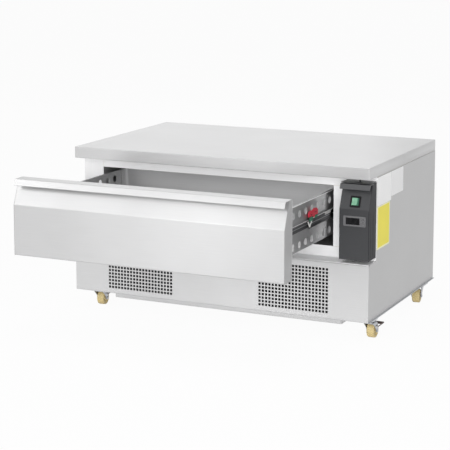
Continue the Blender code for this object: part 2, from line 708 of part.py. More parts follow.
def make_slides(cabinet, drawer, carriages, zinc, red):
    """Three-part telescopic slides. The middle parts go half as far as the drawer, with a release lever each.

    The two parts on the drawer's side open away from it, and the cabinet's part opens towards it.
    """
    outer_y = (0.0740, 0.0740 + SLIDE_LENGTH)
    middle_y = (0.0760, 0.0760 + SLIDE_LENGTH)
    inner_y = (0.0660, 0.0660 + SLIDE_LENGTH)
    wall = DRAWER_WALL_X[1]
    members = {
        "slide_inner": (channel(wall + GAP, wall + 0.0034, 0.0120), inner_y),
        "slide_middle": (channel(wall + 0.0040, wall + 0.0076, 0.0155), middle_y),
        "slide_outer": (channel(OPENING_X[1] - GAP, wall + 0.0096, 0.0190), outer_y),
    }
    foot = SLIDE_Z + 0.0155 + GAP
    lever = [(0.0715, 0.4290), (0.1020, 0.4290), (0.1040, foot), (0.1420, foot), (0.1480, 0.4310)]
    lever += [(0.1480, 0.4430), (0.1380, 0.4500), (0.1180, 0.4520), (0.1040, 0.4465), (0.0900, 0.4490)]
    lever += [(0.0715, 0.4440)]
    centre = sum(DRAWER_WALL_X)
    for side in ("left", "right"):
        for kind, (outline, along) in members.items():
            if side == "left":
                outline = [(centre - x, z) for x, z in outline]
            parent = {"slide_inner": drawer, "slide_middle": carriages[side], "slide_outer": cabinet}[kind]
            add(f"{kind}_{side}", prism(outline, 1, *along), zinc, parent)
        lever_x = [wall + 0.0030, wall + 0.0080]
        if side == "left":
            lever_x = [centre - x for x in lever_x]
        pivot = (sum(lever_x) / 2, *LEVER_PIVOT)
        add(f"slide_latch_{side}", prism(lever, 0, *lever_x), red, carriages[side], origin=pivot)


def make_casters(cabinet, zinc, tyre, dark):
    """Four swivel casters. Each fork turns under its plate, and the front two have brake pedals."""
    axle_z = WHEEL_RADIUS
    inner, outer = WHEEL_WIDTH / 2 + 0.0025, WHEEL_WIDTH / 2 + 0.0045
    for place, (x, y, turn) in CASTERS.items():
        swivel = empty(f"swivel_{place}", (x, y, 0.0), cabinet, turn_z=turn)
        side = [
            (0.016, FORK_TOP),
            (-0.014, FORK_TOP),
            (-0.020, 0.053),
            (-0.029, 0.030),
            (-0.027, 0.018),
            (-0.013, 0.018),
            (-0.006, 0.034),
            (0.016, 0.053),
        ]
        fork = prism(side, 0, -outer, outer)
        fork = add(f"caster_fork_{place}", fork, zinc, swivel, origin=(0, 0, FORK_TOP))
        cut(fork, boxes([((-inner, inner), (-0.06, 0.04), (0.0, 0.0525))]))
        unite(fork, cylinder(0, (0.0, -TRAIL, axle_z), 0.0030, -outer - 0.003, outer + 0.003, 10))

        half = WHEEL_WIDTH / 2
        tread = WHEEL_RADIUS
        profile = [
            (0.0034, -half),
            (0.0100, -half),
            (0.0115, -half + 0.003),
            (0.0180, -half + 0.003),
            (0.0195, -half),
            (tread - 0.003, -half),
            (tread, -half + 0.004),
            (tread, half - 0.004),
            (tread - 0.003, half),
            (0.0195, half),
            (0.0180, half - 0.003),
            (0.0115, half - 0.003),
            (0.0100, half),
            (0.0034, half),
        ]
        steps = 20
        stretch = 1 / math.cos(math.pi / steps)
        profile = [(radius * stretch, along) for radius, along in profile]
        centre = (0.0, -TRAIL, axle_z)
        wheel = turned(profile, 0, centre, steps, phase=math.pi / steps)
        add(f"caster_wheel_{place}", wheel, tyre, swivel, origin=centre, smooth=30)

        if place.startswith("front"):
            arm = outer + 0.0035
            pivot = (0.0, -0.018, 0.0405)
            for side in (-1, 1):
                pin = sorted((side * (outer - 0.001), side * (arm - GAP)))
                unite(fork, cylinder(0, pivot, 0.0020, *pin, 8))
            reach = ((-PEDAL_HALF_WIDTH, PEDAL_HALF_WIDTH), (-PEDAL_REACH, -0.012), (0.0385, 0.0425))
            pedal = add(f"brake_pedal_{place}", boxes([reach]), dark, swivel, origin=pivot)
            cut(pedal, boxes([((-arm, arm), (-0.050, 0.0), (0.02, 0.06))]))


def main():
    clear_scene()
    steel = material("brushed_stainless", (0.62, 0.62, 0.63), 0.32, 1.0)
    inner_steel = material("satin_stainless", (0.50, 0.50, 0.51), 0.40, 1.0)
    zinc = material("zinc_plate", (0.55, 0.56, 0.58), 0.35, 1.0)
    foam = material("insulation_foam", (0.80, 0.74, 0.55), 0.90, 0.0)
    charcoal = material("charcoal_plastic", (0.075, 0.078, 0.082), 0.50, 0.0)
    black = material("black_plastic", (0.012, 0.012, 0.014), 0.30, 0.0)
    grey = material("grey_plastic", (0.12, 0.12, 0.125), 0.45, 0.0)
    green = material("green_lens", (0.10, 0.42, 0.22), 0.20, 0.0)
    red = material("red_lever", (0.55, 0.03, 0.05), 0.40, 0.0)
    seal = material("grey_gasket", (0.22, 0.22, 0.23), 0.70, 0.0)
    tyre = material("tan_tyre", (0.62, 0.47, 0.20), 0.55, 0.0)
    dark = material("brown_pedal", (0.10, 0.06, 0.05), 0.50, 0.0)
    copper = material("copper_pipe", (0.75, 0.38, 0.24), 0.30, 1.0)
    fins = material("coil_fins", (0.60, 0.61, 0.62), 0.45, 1.0)

    cabinet = empty("cabinet", CABINET_ORIGIN)
    drawer = empty("drawer_carriage", (0.0, -DRAWER_OPEN, 0.0), cabinet)
    carriages = {}
    for side in ("left", "right"):
        carriages[side] = empty(f"middle_carriage_{side}", (0.0, -DRAWER_OPEN / 2, 0.0), cabinet)

    make_shell(cabinet, steel, inner_steel, foam)
    make_base(cabinet, steel, zinc)
    make_machinery(cabinet, (black, copper, fins, black, zinc, inner_steel))
    make_controls(cabinet, charcoal, black, green, grey)
    make_drawer(drawer, steel, inner_steel, foam, seal)
    make_slides(cabinet, drawer, carriages, zinc, red)
    make_casters(cabinet, zinc, tyre, dark)


main()
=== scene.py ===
"""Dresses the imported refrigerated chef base: sheet metal, controls, slides, casters, finishes and lamps.

Metres, +Z up. Every place is given in the cabinet's own frame, as the part stands at rest with its drawer
open: x from the cabinet's left side, y from the worktop's front face towards the back, z from the floor.
"""

import json
import math

import bmesh
import bpy
import numpy as np
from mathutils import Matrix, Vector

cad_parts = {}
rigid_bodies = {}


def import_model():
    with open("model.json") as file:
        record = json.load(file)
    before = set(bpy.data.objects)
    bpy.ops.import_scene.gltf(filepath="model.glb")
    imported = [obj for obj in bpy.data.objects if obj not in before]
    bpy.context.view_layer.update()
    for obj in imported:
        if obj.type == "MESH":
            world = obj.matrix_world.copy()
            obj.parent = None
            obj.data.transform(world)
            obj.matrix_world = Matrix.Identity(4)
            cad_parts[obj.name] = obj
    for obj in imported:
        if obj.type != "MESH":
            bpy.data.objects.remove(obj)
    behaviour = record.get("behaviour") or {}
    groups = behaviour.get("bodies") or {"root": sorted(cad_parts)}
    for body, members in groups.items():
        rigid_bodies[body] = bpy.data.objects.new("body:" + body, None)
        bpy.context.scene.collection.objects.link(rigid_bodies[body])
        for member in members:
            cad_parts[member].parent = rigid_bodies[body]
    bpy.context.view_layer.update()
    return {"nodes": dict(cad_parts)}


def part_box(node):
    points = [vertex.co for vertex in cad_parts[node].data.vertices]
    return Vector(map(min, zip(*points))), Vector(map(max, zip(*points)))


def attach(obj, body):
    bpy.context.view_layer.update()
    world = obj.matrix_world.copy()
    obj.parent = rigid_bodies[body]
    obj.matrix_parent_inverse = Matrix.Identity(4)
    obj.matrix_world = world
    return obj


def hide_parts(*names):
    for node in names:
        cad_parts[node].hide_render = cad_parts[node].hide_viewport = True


# The photograph's view
CAMERA_PLACE = (2.73, -4.5713, 1.3933)
CAMERA_ELEVATION = 8.2988
CAMERA_AZIMUTH = 25.1392
LENS = 121.87
SHIFT_Y = -0.2

# Sheet metal
SHEET = 0.0015
FOLD = 0.003
PANEL_RETURN = 0.014

# How far a sticker and the colour printed on it stand proud of the panel
STICKER = 0.00018
PRINTED = 0.00026

# The profile that the drawer front and the control housing share
FRONT_Z = 0.272
FRONT_HEIGHT = 0.255
CREASE = 0.169
SLOPE_RUN = 0.036
LIP_DROP = 0.021
LIP_LEAN = 0.009

# The machine compartment's grilles: square holes in columns and rows
GRILLE_X = (0.133, 0.709)
GRILLE_Z = 0.085
GRILLE_SIZE = (0.25, 0.152)
GRILLE_HOLES = (21, 13)
HOLE_SHARE = 0.68

# Round holes along the drawer's walls
HOLE_RADIUS = 0.0122
HOLE_PITCH = 0.052
HOLE_COUNT = 9
FIRST_HOLE = 0.106
HOLE_ROWS = (0.351, 0.452)
HOLE_CELL = 0.0185

# The back's louvres, the cut-out for the mains inlet, and the screws
LOUVRE_X = (0.17, 0.56)
LOUVRE_Z = 0.1
LOUVRE_PITCH = 0.02
LOUVRE_ROWS = 7
LOUVRE_SIZE = (0.3, 0.008)
INLET_CUT = ((0.9597, 1.0103), (0.0997, 0.1403))
SCREW_X = (0.015, 0.37, 0.73, 1.085)
SCREW_Z = (0.08, 0.27, 0.52)

# How far the drawer and the slides' middle parts are out
OPEN = -0.4
HALF_OPEN = -0.2

# Casters: the swivel's x and y, and its turn in degrees
CASTERS = {
    "front_left": (0.065, 0.058, 184.0),
    "front_right": (1.088, 0.058, 179.0),
    "rear_left": (0.065, 0.6, -10.0),
    "rear_right": (1.076, 0.6, 6.0),
}
WHEEL_RADIUS = 0.025
WHEEL_HALF = 0.013
TRAIL = 0.02
PEDAL_TREADS = (-0.069, -0.063, -0.057)

# The casters' plates: half their sides, their height, and how far their bolts are from the middle
PLATE_HALF = (0.031, 0.025)
PLATE_Z = (0.063, 0.0668)
BOLT_PLACE = (0.025, 0.0195)

# The machinery: the middles of the fans, and the compressor's
CONDENSER_FAN = (0.27, 0.1, 0.161)
EVAPORATOR_FAN = (0.996, 0.47, 0.4)
FAN_BLADES = 5
COMPRESSOR = (0.8, 0.42)

# Points nearer than this become one, and an edge is sharp where its faces turn by more degrees than this
WELD = 2e-6
SHARP = 38

# How far the floor goes from its middle, and the level of the light that the room gives
FLOOR_REACH = 40.0
ROOM_LEVEL = 0.36

bpy.ops.object.select_all(action="SELECT")
bpy.ops.object.delete()
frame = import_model()
CORNER = np.array([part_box("worktop")[0].x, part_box("worktop")[0].y, 0.0])


def span(name):
    """The x, y and z ranges of one of the part's nodes, in the cabinet's frame."""
    low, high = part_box(name)
    return np.stack([np.array(low) - CORNER, np.array(high) - CORNER], -1)


def about(middle, half):
    """The range that reaches half of its length to each side of a middle."""
    return middle - half, middle + half


# Surfaces. A shape is a pair: its points, and a list of arrays that give the corners of its faces


def grid(points, wrap=(False, False), keep=None, ends=False):
    """The surface through rows and columns of points, where each cell is one face.

    wrap joins the last row or column to the first, keep says which cells stay, and ends closes the first
    and the last row with a flat face.
    """
    rows, columns = points.shape[:2]
    cell_rows, cell_columns = np.arange(rows - (not wrap[0])), np.arange(columns - (not wrap[1]))
    row, column = np.meshgrid(cell_rows, cell_columns, indexing="ij")
    next_row, next_column = (row + 1) % rows, (column + 1) % columns
    corners = [row * columns + column, row * columns + next_column]
    corners += [next_row * columns + next_column, next_row * columns + column]
    cells = np.stack(corners, -1)
    faces = [cells.reshape(-1, 4) if keep is None else cells[keep]]
    if ends:
        around = np.arange(columns)[None]
        faces += [around, around + (rows - 1) * columns]
    return points.reshape(-1, 3), faces


def placed(axis, depth, first, second):
    """Points with the depth on one axis, and the other two coordinates in their order."""
    parts = [first, second]
    parts.insert(axis, depth)
    return np.stack(np.broadcast_arrays(*parts), -1)


def bent(line, radius, closed=False, steps=4):
    """A line with its corners rounded.

    Each corner becomes the curve (1-t)(1-t) A + 2t(1-t) P + t t B, where A and B lie on the two sides of
    the corner P, as far from it as the radius.
    """
    line = np.asarray(line, float)
    back, ahead = np.roll(line, 1, 0) - line, np.roll(line, -1, 0) - line
    back_length = np.linalg.norm(back, axis=1, keepdims=True)
    ahead_length = np.linalg.norm(ahead, axis=1, keepdims=True)
    trim = np.broadcast_to(radius, len(line)).astype(float)[:, None]
    trim = np.minimum(trim, 0.49 * np.minimum(back_length, ahead_length))
    if not closed:
        trim[[0, -1]] = 0.0
    start = (line + back / back_length * trim)[:, None]
    stop = (line + ahead / ahead_length * trim)[:, None]
    t = np.linspace(0, 1, steps + 1)[:, None]
    curve = (1 - t) ** 2 * start + 2 * t * (1 - t) * line[:, None] + t**2 * stop
    return curve.reshape(-1, line.shape[1])


def carried(line, axis, stations, closed=False, keep=None):
    """A line in the plane across an axis, carried along it through the stations. A closed one is solid."""
    line, stations = np.asarray(line, float), np.asarray(stations, float)
    points = placed(axis, stations[:, None], line[:, 0], line[:, 1])
    return grid(points, wrap=(False, closed), keep=keep, ends=closed)


def rounded(low, high, edge_highlight, steps=3):
    """Rows of (inset, depth) from one flat face to the other, with a quarter round at each."""
    turn = np.linspace(0, math.pi / 2, steps + 1)
    first = np.stack([edge_highlight * (1 - np.sin(turn)), low + edge_highlight * (1 - np.cos(turn))], -1)
    last = np.stack([edge_highlight * (1 - np.cos(turn)), high - edge_highlight * (1 - np.sin(turn))], -1)
    return np.concatenate([first, last])


def stacked(first, second, rows, corner, axis=2, ring=False, steps=4):
    """Rounded rectangles stacked along an axis, one for each row of (inset, depth).

    A point of a rectangle is the centre of its corner's quarter circle plus the radius along its angle,
    and the radius shrinks by the inset. A ring goes back from its last row to its first.
    """
    inset, depth = np.asarray(rows, float).T[:, :, None]
    radius = np.maximum(corner - inset, 2e-5)
    turn = (np.linspace(0, math.pi / 2, steps + 1) + np.arange(4)[:, None] * math.pi / 2).ravel()
    side_first = np.repeat([1, -1, -1, 1], steps + 1)
    side_second = np.repeat([1, 1, -1, -1], steps + 1)
    half_first, half_second = (first[1] - first[0]) / 2, (second[1] - second[0]) / 2
    place_first = sum(first) / 2 + side_first * (half_first - inset - radius) + radius * np.cos(turn)
    place_second = sum(second) / 2 + side_second * (half_second - inset - radius) + radius * np.sin(turn)
    return grid(placed(axis, depth, place_first, place_second), wrap=(ring, True), ends=not ring)


def slab(x, y, z, axis=2, corner=0.002, edge_highlight=0.0006):
    """A flat block seen as a rounded rectangle along an axis, with its two flat faces' edges rounded."""
    spans = [x, y, z]
    low, high = spans.pop(axis)
    return stacked(*spans, rounded(low, high, edge_highlight), corner, axis)


def turned(profile, axis, centre, steps=32, ring=False):
    """A profile of (radius, along) pairs turned round an axis through the centre."""
    radius, along = np.asarray(profile, float).T[:, :, None]
    angle = np.linspace(0, 2 * math.pi, steps, endpoint=False)
    points = placed(axis, along, radius * np.cos(angle), radius * np.sin(angle)) + np.asarray(centre)
    return grid(points, wrap=(ring, True), ends=not ring and profile[0][0] > 0)


def tube(route, radius, sides=12, steps=8, level=(0.11, 0.23, 0.97)):
    """A round tube along the smooth curve through a route's points, closed at both ends.

    The curve is the Catmull-Rom one, and a ring's plane is square to the curve's direction there.
    """
    route = np.asarray(route, float)
    padded = np.vstack([2 * route[0] - route[1], route, 2 * route[-1] - route[-2]])
    a, b, c, d = padded[:-3, None], padded[1:-2, None], padded[2:-1, None], padded[3:, None]
    t = np.linspace(0, 1, steps, endpoint=False)[:, None]
    bend = (2 * a - 5 * b + 4 * c - d) * t**2 + (3 * b - a - 3 * c + d) * t**3
    curve = ((2 * b + (c - a) * t + bend) / 2).reshape(-1, 3)
    curve = np.vstack([curve, route[-1]])
    ahead = np.gradient(curve, axis=0)
    ahead /= np.linalg.norm(ahead, axis=1, keepdims=True)
    side = np.cross(ahead, level)
    side /= np.linalg.norm(side, axis=1, keepdims=True)
    up = np.cross(ahead, side)
    angle = np.linspace(0, 2 * math.pi, sides, endpoint=False)[:, None]
    ring = np.cos(angle) * side[:, None] + np.sin(angle) * up[:, None]
    return grid(curve[:, None] + radius * ring, wrap=(False, True), ends=True)


def open_cells(first, second, holes):
    """Which cells between two rows of lines stay: not those whose middle lies in a hole."""
    first, second = np.asarray(first), np.asarray(second)
    middle_first = (first[1:] + first[:-1])[:, None] / 2
    middle_second = (second[1:] + second[:-1])[None] / 2
    keep = np.ones((len(first) - 1, len(second) - 1), bool)
    for (low_first, high_first), (low_second, high_second) in holes:
        inside_first = (middle_first > low_first) & (middle_first < high_first)
        keep &= ~(inside_first & (middle_second > low_second) & (middle_second < high_second))
    return keep


def holed_sheet(axis, depth, first, second, holes):
    """A flat sheet between two ranges, cut by rectangular holes, with a line at each hole's edges."""
    lines_first = np.unique(np.concatenate([np.ravel(first), *[hole[0] for hole in holes]]).round(6))
    lines_second = np.unique(np.concatenate([np.ravel(second), *[hole[1] for hole in holes]]).round(6))
    points = placed(axis, depth, lines_first[:, None], lines_second[None])
    return grid(points, keep=open_cells(lines_first, lines_second, holes))


def round_holed(axis, depth, first_lines, second_lines, radius, steps=24):
    """A flat sheet of cells, with a round hole in each cell that has a radius.

    A cell is a ring of faces between its border, where the angle's ray meets the rectangle, and the
    hole's circle. Where the radius is 0 the circle is the cell's middle.
    """
    angle = np.linspace(0, 2 * math.pi, steps, endpoint=False)
    across, up = np.cos(angle), np.sin(angle)
    reach = np.maximum(abs(across), abs(up))
    first_lines, second_lines = np.asarray(first_lines), np.asarray(second_lines)
    centre_first = ((first_lines[1:] + first_lines[:-1]) / 2)[:, None, None]
    centre_second = ((second_lines[1:] + second_lines[:-1]) / 2)[None, :, None]
    half_first = (np.diff(first_lines) / 2)[:, None, None]
    half_second = (np.diff(second_lines) / 2)[None, :, None]
    radius = np.asarray(radius)[:, :, None]
    cell = (centre_first + half_first * across / reach, centre_second + half_second * up / reach)
    border = np.stack(np.broadcast_arrays(*cell))
    circle = np.stack(np.broadcast_arrays(centre_first + radius * across, centre_second + radius * up))
    both = np.stack([border, circle], -2)
    cells = both.shape[1] * both.shape[2]
    points = placed(axis, depth, both[0], both[1]).reshape(-1, 3)
    one = np.arange(steps)
    after = (one + 1) % steps
    ring = np.stack([one, after, after + steps, one + steps], -1)
    return points, [(ring + 2 * steps * np.arange(cells)[:, None, None]).reshape(-1, 4)]


def repeated(shape, places):
    """The same shape at each of several places, as one shape."""
    points, faces = shape
    places = np.asarray(places, float)
    start = len(points) * np.arange(len(places))[:, None, None]
    shifted = (points + places[:, None]).reshape(-1, 3)
    return shifted, [(group + start).reshape(-1, group.shape[-1]) for group in faces]


def swivelled(shape, place):
    """A shape given round a caster's swivel, turned and set under the cabinet where that caster is."""
    x, y, turn = CASTERS[place]
    cosine, sine = math.cos(math.radians(turn)), math.sin(math.radians(turn))
    turning = np.array([[cosine, -sine, 0], [sine, cosine, 0], [0, 0, 1]])
    return shape[0] @ turning.T + (x, y, 0.0), shape[1]


def mirrored(shape, middle):
    """A shape mirrored from left to right about an x."""
    return shape[0] * (-1, 1, 1) + (2 * middle, 0, 0), shape[1]


def placed_object(name, data):
    """A new object of the scene that shows its data."""
    made = bpy.data.objects.new(name, data)
    bpy.context.scene.collection.objects.link(made)
    return made


def piece(name, shapes, finish, body="cabinet", nodes=(), thick=0.0, bevel=0.0, sharp=SHARP):
    """Makes one piece of its shapes. It rides on a body, and stands for the part's nodes.

    thick gives sheets their thickness, half to each side, and bevel rounds the sharp edges. Both are applied
    to the mesh, so that the edges can then be marked as sharp.
    """
    start = np.cumsum([0] + [len(points) for points, _faces in shapes])
    points = np.concatenate([points for points, _faces in shapes]) + CORNER
    faces = []
    for (_points, groups), first in zip(shapes, start):
        for group in groups:
            faces += (group + first).tolist()
    mesh = bpy.data.meshes.new(name)
    mesh.from_pydata(points.tolist(), [], faces)
    bm = bmesh.new()
    bm.from_mesh(mesh)
    bmesh.ops.remove_doubles(bm, verts=bm.verts, dist=WELD)
    bmesh.ops.dissolve_degenerate(bm, edges=bm.edges, dist=WELD)
    bmesh.ops.recalc_face_normals(bm, faces=bm.faces)
    bm.to_mesh(mesh)
    bm.free()
    mesh.materials.append(finish)
    mesh.shade_smooth()
    made = placed_object(name, mesh)
    if thick:
        wall = made.modifiers.new("sheet", "SOLIDIFY")
        wall.thickness = thick
        wall.offset = 0.0
    if bevel:
        rounding = made.modifiers.new("rounding", "BEVEL")
        rounding.width = bevel
        rounding.segments = 2
        rounding.limit_method = "ANGLE"
        rounding.angle_limit = math.radians(sharp)
    if thick or bevel:
        seen = bpy.context.evaluated_depsgraph_get()
        made.data = bpy.data.meshes.new_from_object(made.evaluated_get(seen), depsgraph=seen)
        made.modifiers.clear()
        bpy.data.meshes.remove(mesh)
    made.data.set_sharp_from_angle(angle=math.radians(sharp))
    shading = made.modifiers.new("flat_faces", "WEIGHTED_NORMAL")
    shading.keep_sharp = True
    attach(made, body)
    if nodes:
        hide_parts(*nodes)
    return made


# Finishes


def wired(tree, node, **inputs):
    """A node, its inputs set to values or linked to outputs. An underscore in a name stands for a blank."""
    for name, value in inputs.items():
        socket = node.inputs[name.replace("_", " ")]
        if isinstance(value, bpy.types.NodeSocket):
            tree.links.new(value, socket)
        else:
            socket.default_value = value
    return node


def added(tree, kind, **inputs):
    """A new node of a kind, with its inputs wired."""
    return wired(tree, tree.nodes.new(f"ShaderNode{kind}"), **inputs)


def surface(name, colour, roughness, metallic=0.0, grain=(400, 400, 400), slot=None, **play):
    """A finish whose grain moves its tone, roughness and relief, over a slow and broad change of tone.

    The grain is noise on the object's own coordinates, drawn out by a scale along each axis. play may give
    tone, streak, rough, relief, cloud, coat, glow, specular, and the axis that the metal is brushed along.
    """
    made = bpy.data.materials.new(name)
    made.use_nodes = True
    tree = made.node_tree
    where = added(tree, "TexCoord").outputs["Object"]
    drawn = added(tree, "Mapping", Scale=grain, Vector=where).outputs["Vector"]
    lines = added(tree, "TexNoise", Scale=1.0, Detail=3.0, Vector=drawn).outputs["Fac"]
    broad = added(tree, "TexNoise", Scale=play.get("cloud", 5.0), Detail=2.0, Vector=where).outputs["Fac"]

    def between(factor, low, high):
        """Noise, which stays near its middle, spread over a range."""
        spread = added(tree, "MapRange", Value=factor, From_Min=0.3, From_Max=0.7, To_Min=low, To_Max=high)
        return spread.outputs["Result"]

    def shaded(amount, under):
        """A colour, or another node's colour, times an amount."""
        mix = tree.nodes.new("ShaderNodeMix")
        mix.data_type = "RGBA"
        mix.blend_type = "MULTIPLY"
        return wired(tree, mix, Factor=1.0, A=under, B=amount).outputs["Result"]

    tone, streak, rough = play.get("tone", 0.03), play.get("streak", 0.02), play.get("rough", 0.04)
    cloudy = shaded(between(broad, 1 - tone, 1 + tone), (*colour, 1.0))
    streaked = shaded(between(lines, 1 - streak, 1 + streak), cloudy)
    roughened = between(lines, roughness - rough, roughness + rough)
    bump = added(tree, "Bump", Strength=0.5, Distance=play.get("relief", 0.00002), Height=lines)
    shader = tree.nodes["Principled BSDF"]
    wired(tree, shader, Base_Color=streaked, Roughness=roughened, Normal=bump.outputs["Normal"])
    wired(tree, shader, Metallic=metallic, Coat_Weight=play.get("coat", 0.0))
    wired(tree, shader, Specular_IOR_Level=play.get("specular", 0.5))
    if "along" in play:
        across = added(tree, "Tangent")
        across.direction_type = "RADIAL"
        across.axis = play["along"]
        wired(tree, shader, Anisotropic=0.8, Tangent=across.outputs["Tangent"])
    if "glow" in play:
        wired(tree, shader, Emission_Color=(*colour, 1.0), Emission_Strength=play["glow"])
    if slot:
        made["slot"] = slot
    return made


def brushed(name, along, level=0.58, roughness=0.34, slot="brushed_stainless", metal=0.75):
    """Stainless steel brushed along one axis in lines a millimetre apart, with gloss drawn out across them.

    A lower share of metal stands for steel that the photograph shows paler; the palest copies paint light
    onto steel in shade, and highlights along edges.
    """
    grain = [9.0 if axis == along else 900.0 for axis in "XYZ"]
    colour = (level, level, level * 1.005)
    play = {"tone": 0.02, "streak": 0.03, "rough": 0.05, "relief": 0.00001, "along": along}
    return surface(name, colour, roughness, metal, grain, slot, **play)


steel_x = brushed("brushed_steel_across", "X")
# A paler copy of the steel for the machine compartment's front: painted light where the open drawer shades
# it.
lit_steel_low = brushed("brushed_steel_painted_light_low", "X", 0.64)
# Darker copies of the steel for the side panels and the drawer's end caps: painted shade on the sides.
shaded_steel_y = brushed("brushed_steel_painted_shade_deep", "Y", 0.475)
shaded_steel_z = brushed("brushed_steel_painted_shade_upright", "Z", 0.44)
# Paler copies of the steel with little metal: painted light on the posts, rails and ledge, which lie in
# shade.
lit_steel_x = brushed("steel_painted_light_across", "X", 0.97, 0.5, metal=0.1)
lit_steel_z = brushed("steel_painted_light_upright", "Z", 0.97, 0.5, metal=0.1)
satin_x = brushed("satin_steel_across", "X", 0.71, 0.48, "satin_stainless", 0.6)
# A paler copy of the steel: painted highlights along the drawer walls' and the slides' edges.
highlight_steel_y = brushed("steel_painted_highlight_deep", "Y", 0.95, 0.45, "satin_stainless", 0.2)
satin_y = brushed("satin_steel_deep", "Y", 0.54, 0.48, "satin_stainless")
wall_y = brushed("polished_steel_deep", "Y", 0.6, 0.42, "satin_stainless", 0.9)
plated = {"grain": (240, 240, 240), "slot": "zinc_plate", "tone": 0.08, "streak": 0.06}
# A darker copy of the zinc plate: painted shade. It darkens the slides' channels under their rolled edges,
# and the fan's shroud and motor seen through the grille.
zinc_painted_shade = surface("zinc_painted_shade", (0.14, 0.14, 0.145), 0.42, 1.0, **plated)
zinc = surface("zinc_plate", (0.5, 0.51, 0.53), 0.34, 1.0, **plated)
porous = {"grain": (350, 350, 350), "tone": 0.08, "relief": 0.0004}
foam = surface("pale_foam", (0.8, 0.74, 0.55), 0.9, slot="insulation_foam", **porous)
moulded = {"grain": (1500, 1500, 1500), "slot": "charcoal_plastic", "tone": 0.05, "relief": 0.00005}
charcoal = surface("charcoal_plastic", (0.038, 0.039, 0.042), 0.42, **moulded)
# A darker copy of the plastic for the housing's cheeks, which is painted shade on its sides, and a lighter,
# glossier copy for its hood and top, which is painted light.
shaded_charcoal = surface("charcoal_painted_shade", (0.022, 0.023, 0.026), 0.55, specular=0.25, **moulded)
charcoal_painted_light = surface("charcoal_painted_light", (0.07, 0.071, 0.074), 0.32, **moulded)
fine = (900, 900, 900)
black = surface("black_plastic", (0.01, 0.01, 0.011), 0.4, 0.0, fine, "black_plastic", specular=0.15)
smooth = {"grain": (60, 60, 60), "slot": "black_plastic", "relief": 0.000002}
glass_black = surface("dark_display", (0.006, 0.006, 0.007), 0.12, **smooth)
bezel = {"grain": (1500, 1500, 1500), "slot": "grey_plastic", "relief": 0.00004}
grey_plastic = surface("grey_plastic", (0.135, 0.135, 0.14), 0.38, **bezel)
ribbed = {"grain": (900, 60, 60), "slot": "green_lens", "streak": 0.1, "coat": 0.5}
green = surface("green_lens", (0.155, 0.365, 0.235), 0.22, glow=0.12, **ribbed)
# Dark green: the slides' real pads, and painted shade on the rocker lens's right end.
green_pads_and_lens_shade = surface("green_pad_and_lens_shade", (0.03, 0.13, 0.08), 0.45, 0.0, fine)
red = surface("red_lever", (0.52, 0.02, 0.045), 0.34, 0.0, fine, "red_lever", tone=0.12)
# A darker copy of the lever's red: painted shade where its grip has grooves.
groove_shade_red = surface("red_groove_shade", (0.16, 0.008, 0.015), 0.5, 0.0, fine)
white = surface("white_clip", (0.72, 0.72, 0.7), 0.4, 0.0, fine)
pale = surface("pale_plastic", (0.5, 0.5, 0.49), 0.45, 0.0, fine)
seal = surface("grey_gasket", (0.2, 0.2, 0.205), 0.65, 0.0, (500, 500, 500), "grey_gasket", tone=0.06)
rubber = {"grain": (260, 260, 260), "slot": "tan_tyre", "tone": 0.1, "streak": 0.06, "cloud": 60}
tan = surface("tan_tyre", (0.64, 0.515, 0.255), 0.48, **rubber)
brown = surface("brown_pedal", (0.075, 0.05, 0.045), 0.45, 0.0, (700, 700, 700), "brown_pedal", tone=0.1)
glossy = {"grain": (120, 120, 120), "slot": "compressor_black", "coat": 0.6, "relief": 0.00004}
enamel = surface("black_enamel", (0.015, 0.015, 0.016), 0.28, **glossy)
drawn_pipe = {"grain": (90, 90, 500), "slot": "copper_pipe", "tone": 0.1, "streak": 0.08}
copper = surface("copper_pipe", (0.72, 0.36, 0.22), 0.3, 1.0, **drawn_pipe)
finned = {"grain": (300, 300, 20), "slot": "coil_fins", "tone": 0.08}
dark_fins = surface("painted_fins", (0.04, 0.04, 0.042), 0.6, 0.0, specular=0.2, **finned)
fins_finish = surface("coil_fins", (0.6, 0.61, 0.62), 0.42, 1.0, **finned)
paper = {"grain": (700, 700, 700), "streak": 0.01}
label_white = surface("white_label", (0.95, 0.95, 0.95), 0.45, tone=0.015, **paper)
label_grey = surface("pale_label", (0.9, 0.9, 0.905), 0.45, tone=0.02, **paper)
label_cream = surface("cream_label", (0.93, 0.9, 0.57), 0.45, tone=0.02, **paper)
label_yellow = surface("yellow_label", (0.93, 0.82, 0.08), 0.5, tone=0.03, **paper)


def dress(name, finish):
    """Gives a node that stays as it is its finish."""
    node = frame["nodes"][name]
    node.data.materials.clear()
    node.data.materials.append(finish)


# The cabinet's shell


def make_worktop():
    """A folded top with rolled edges, and a hem turned in under it."""
    x, y, (low, high) = span("worktop")
    hem = [(0.0225, low + 0.0014), (0.0215, low + 0.0003), (0.0205, low)]
    rows = np.concatenate([hem, rounded(low, high, 0.002, steps=4)])
    piece("worktop_shell", [stacked(x, y, rows, 0.0045, steps=6)], steel_x, nodes=["worktop"])


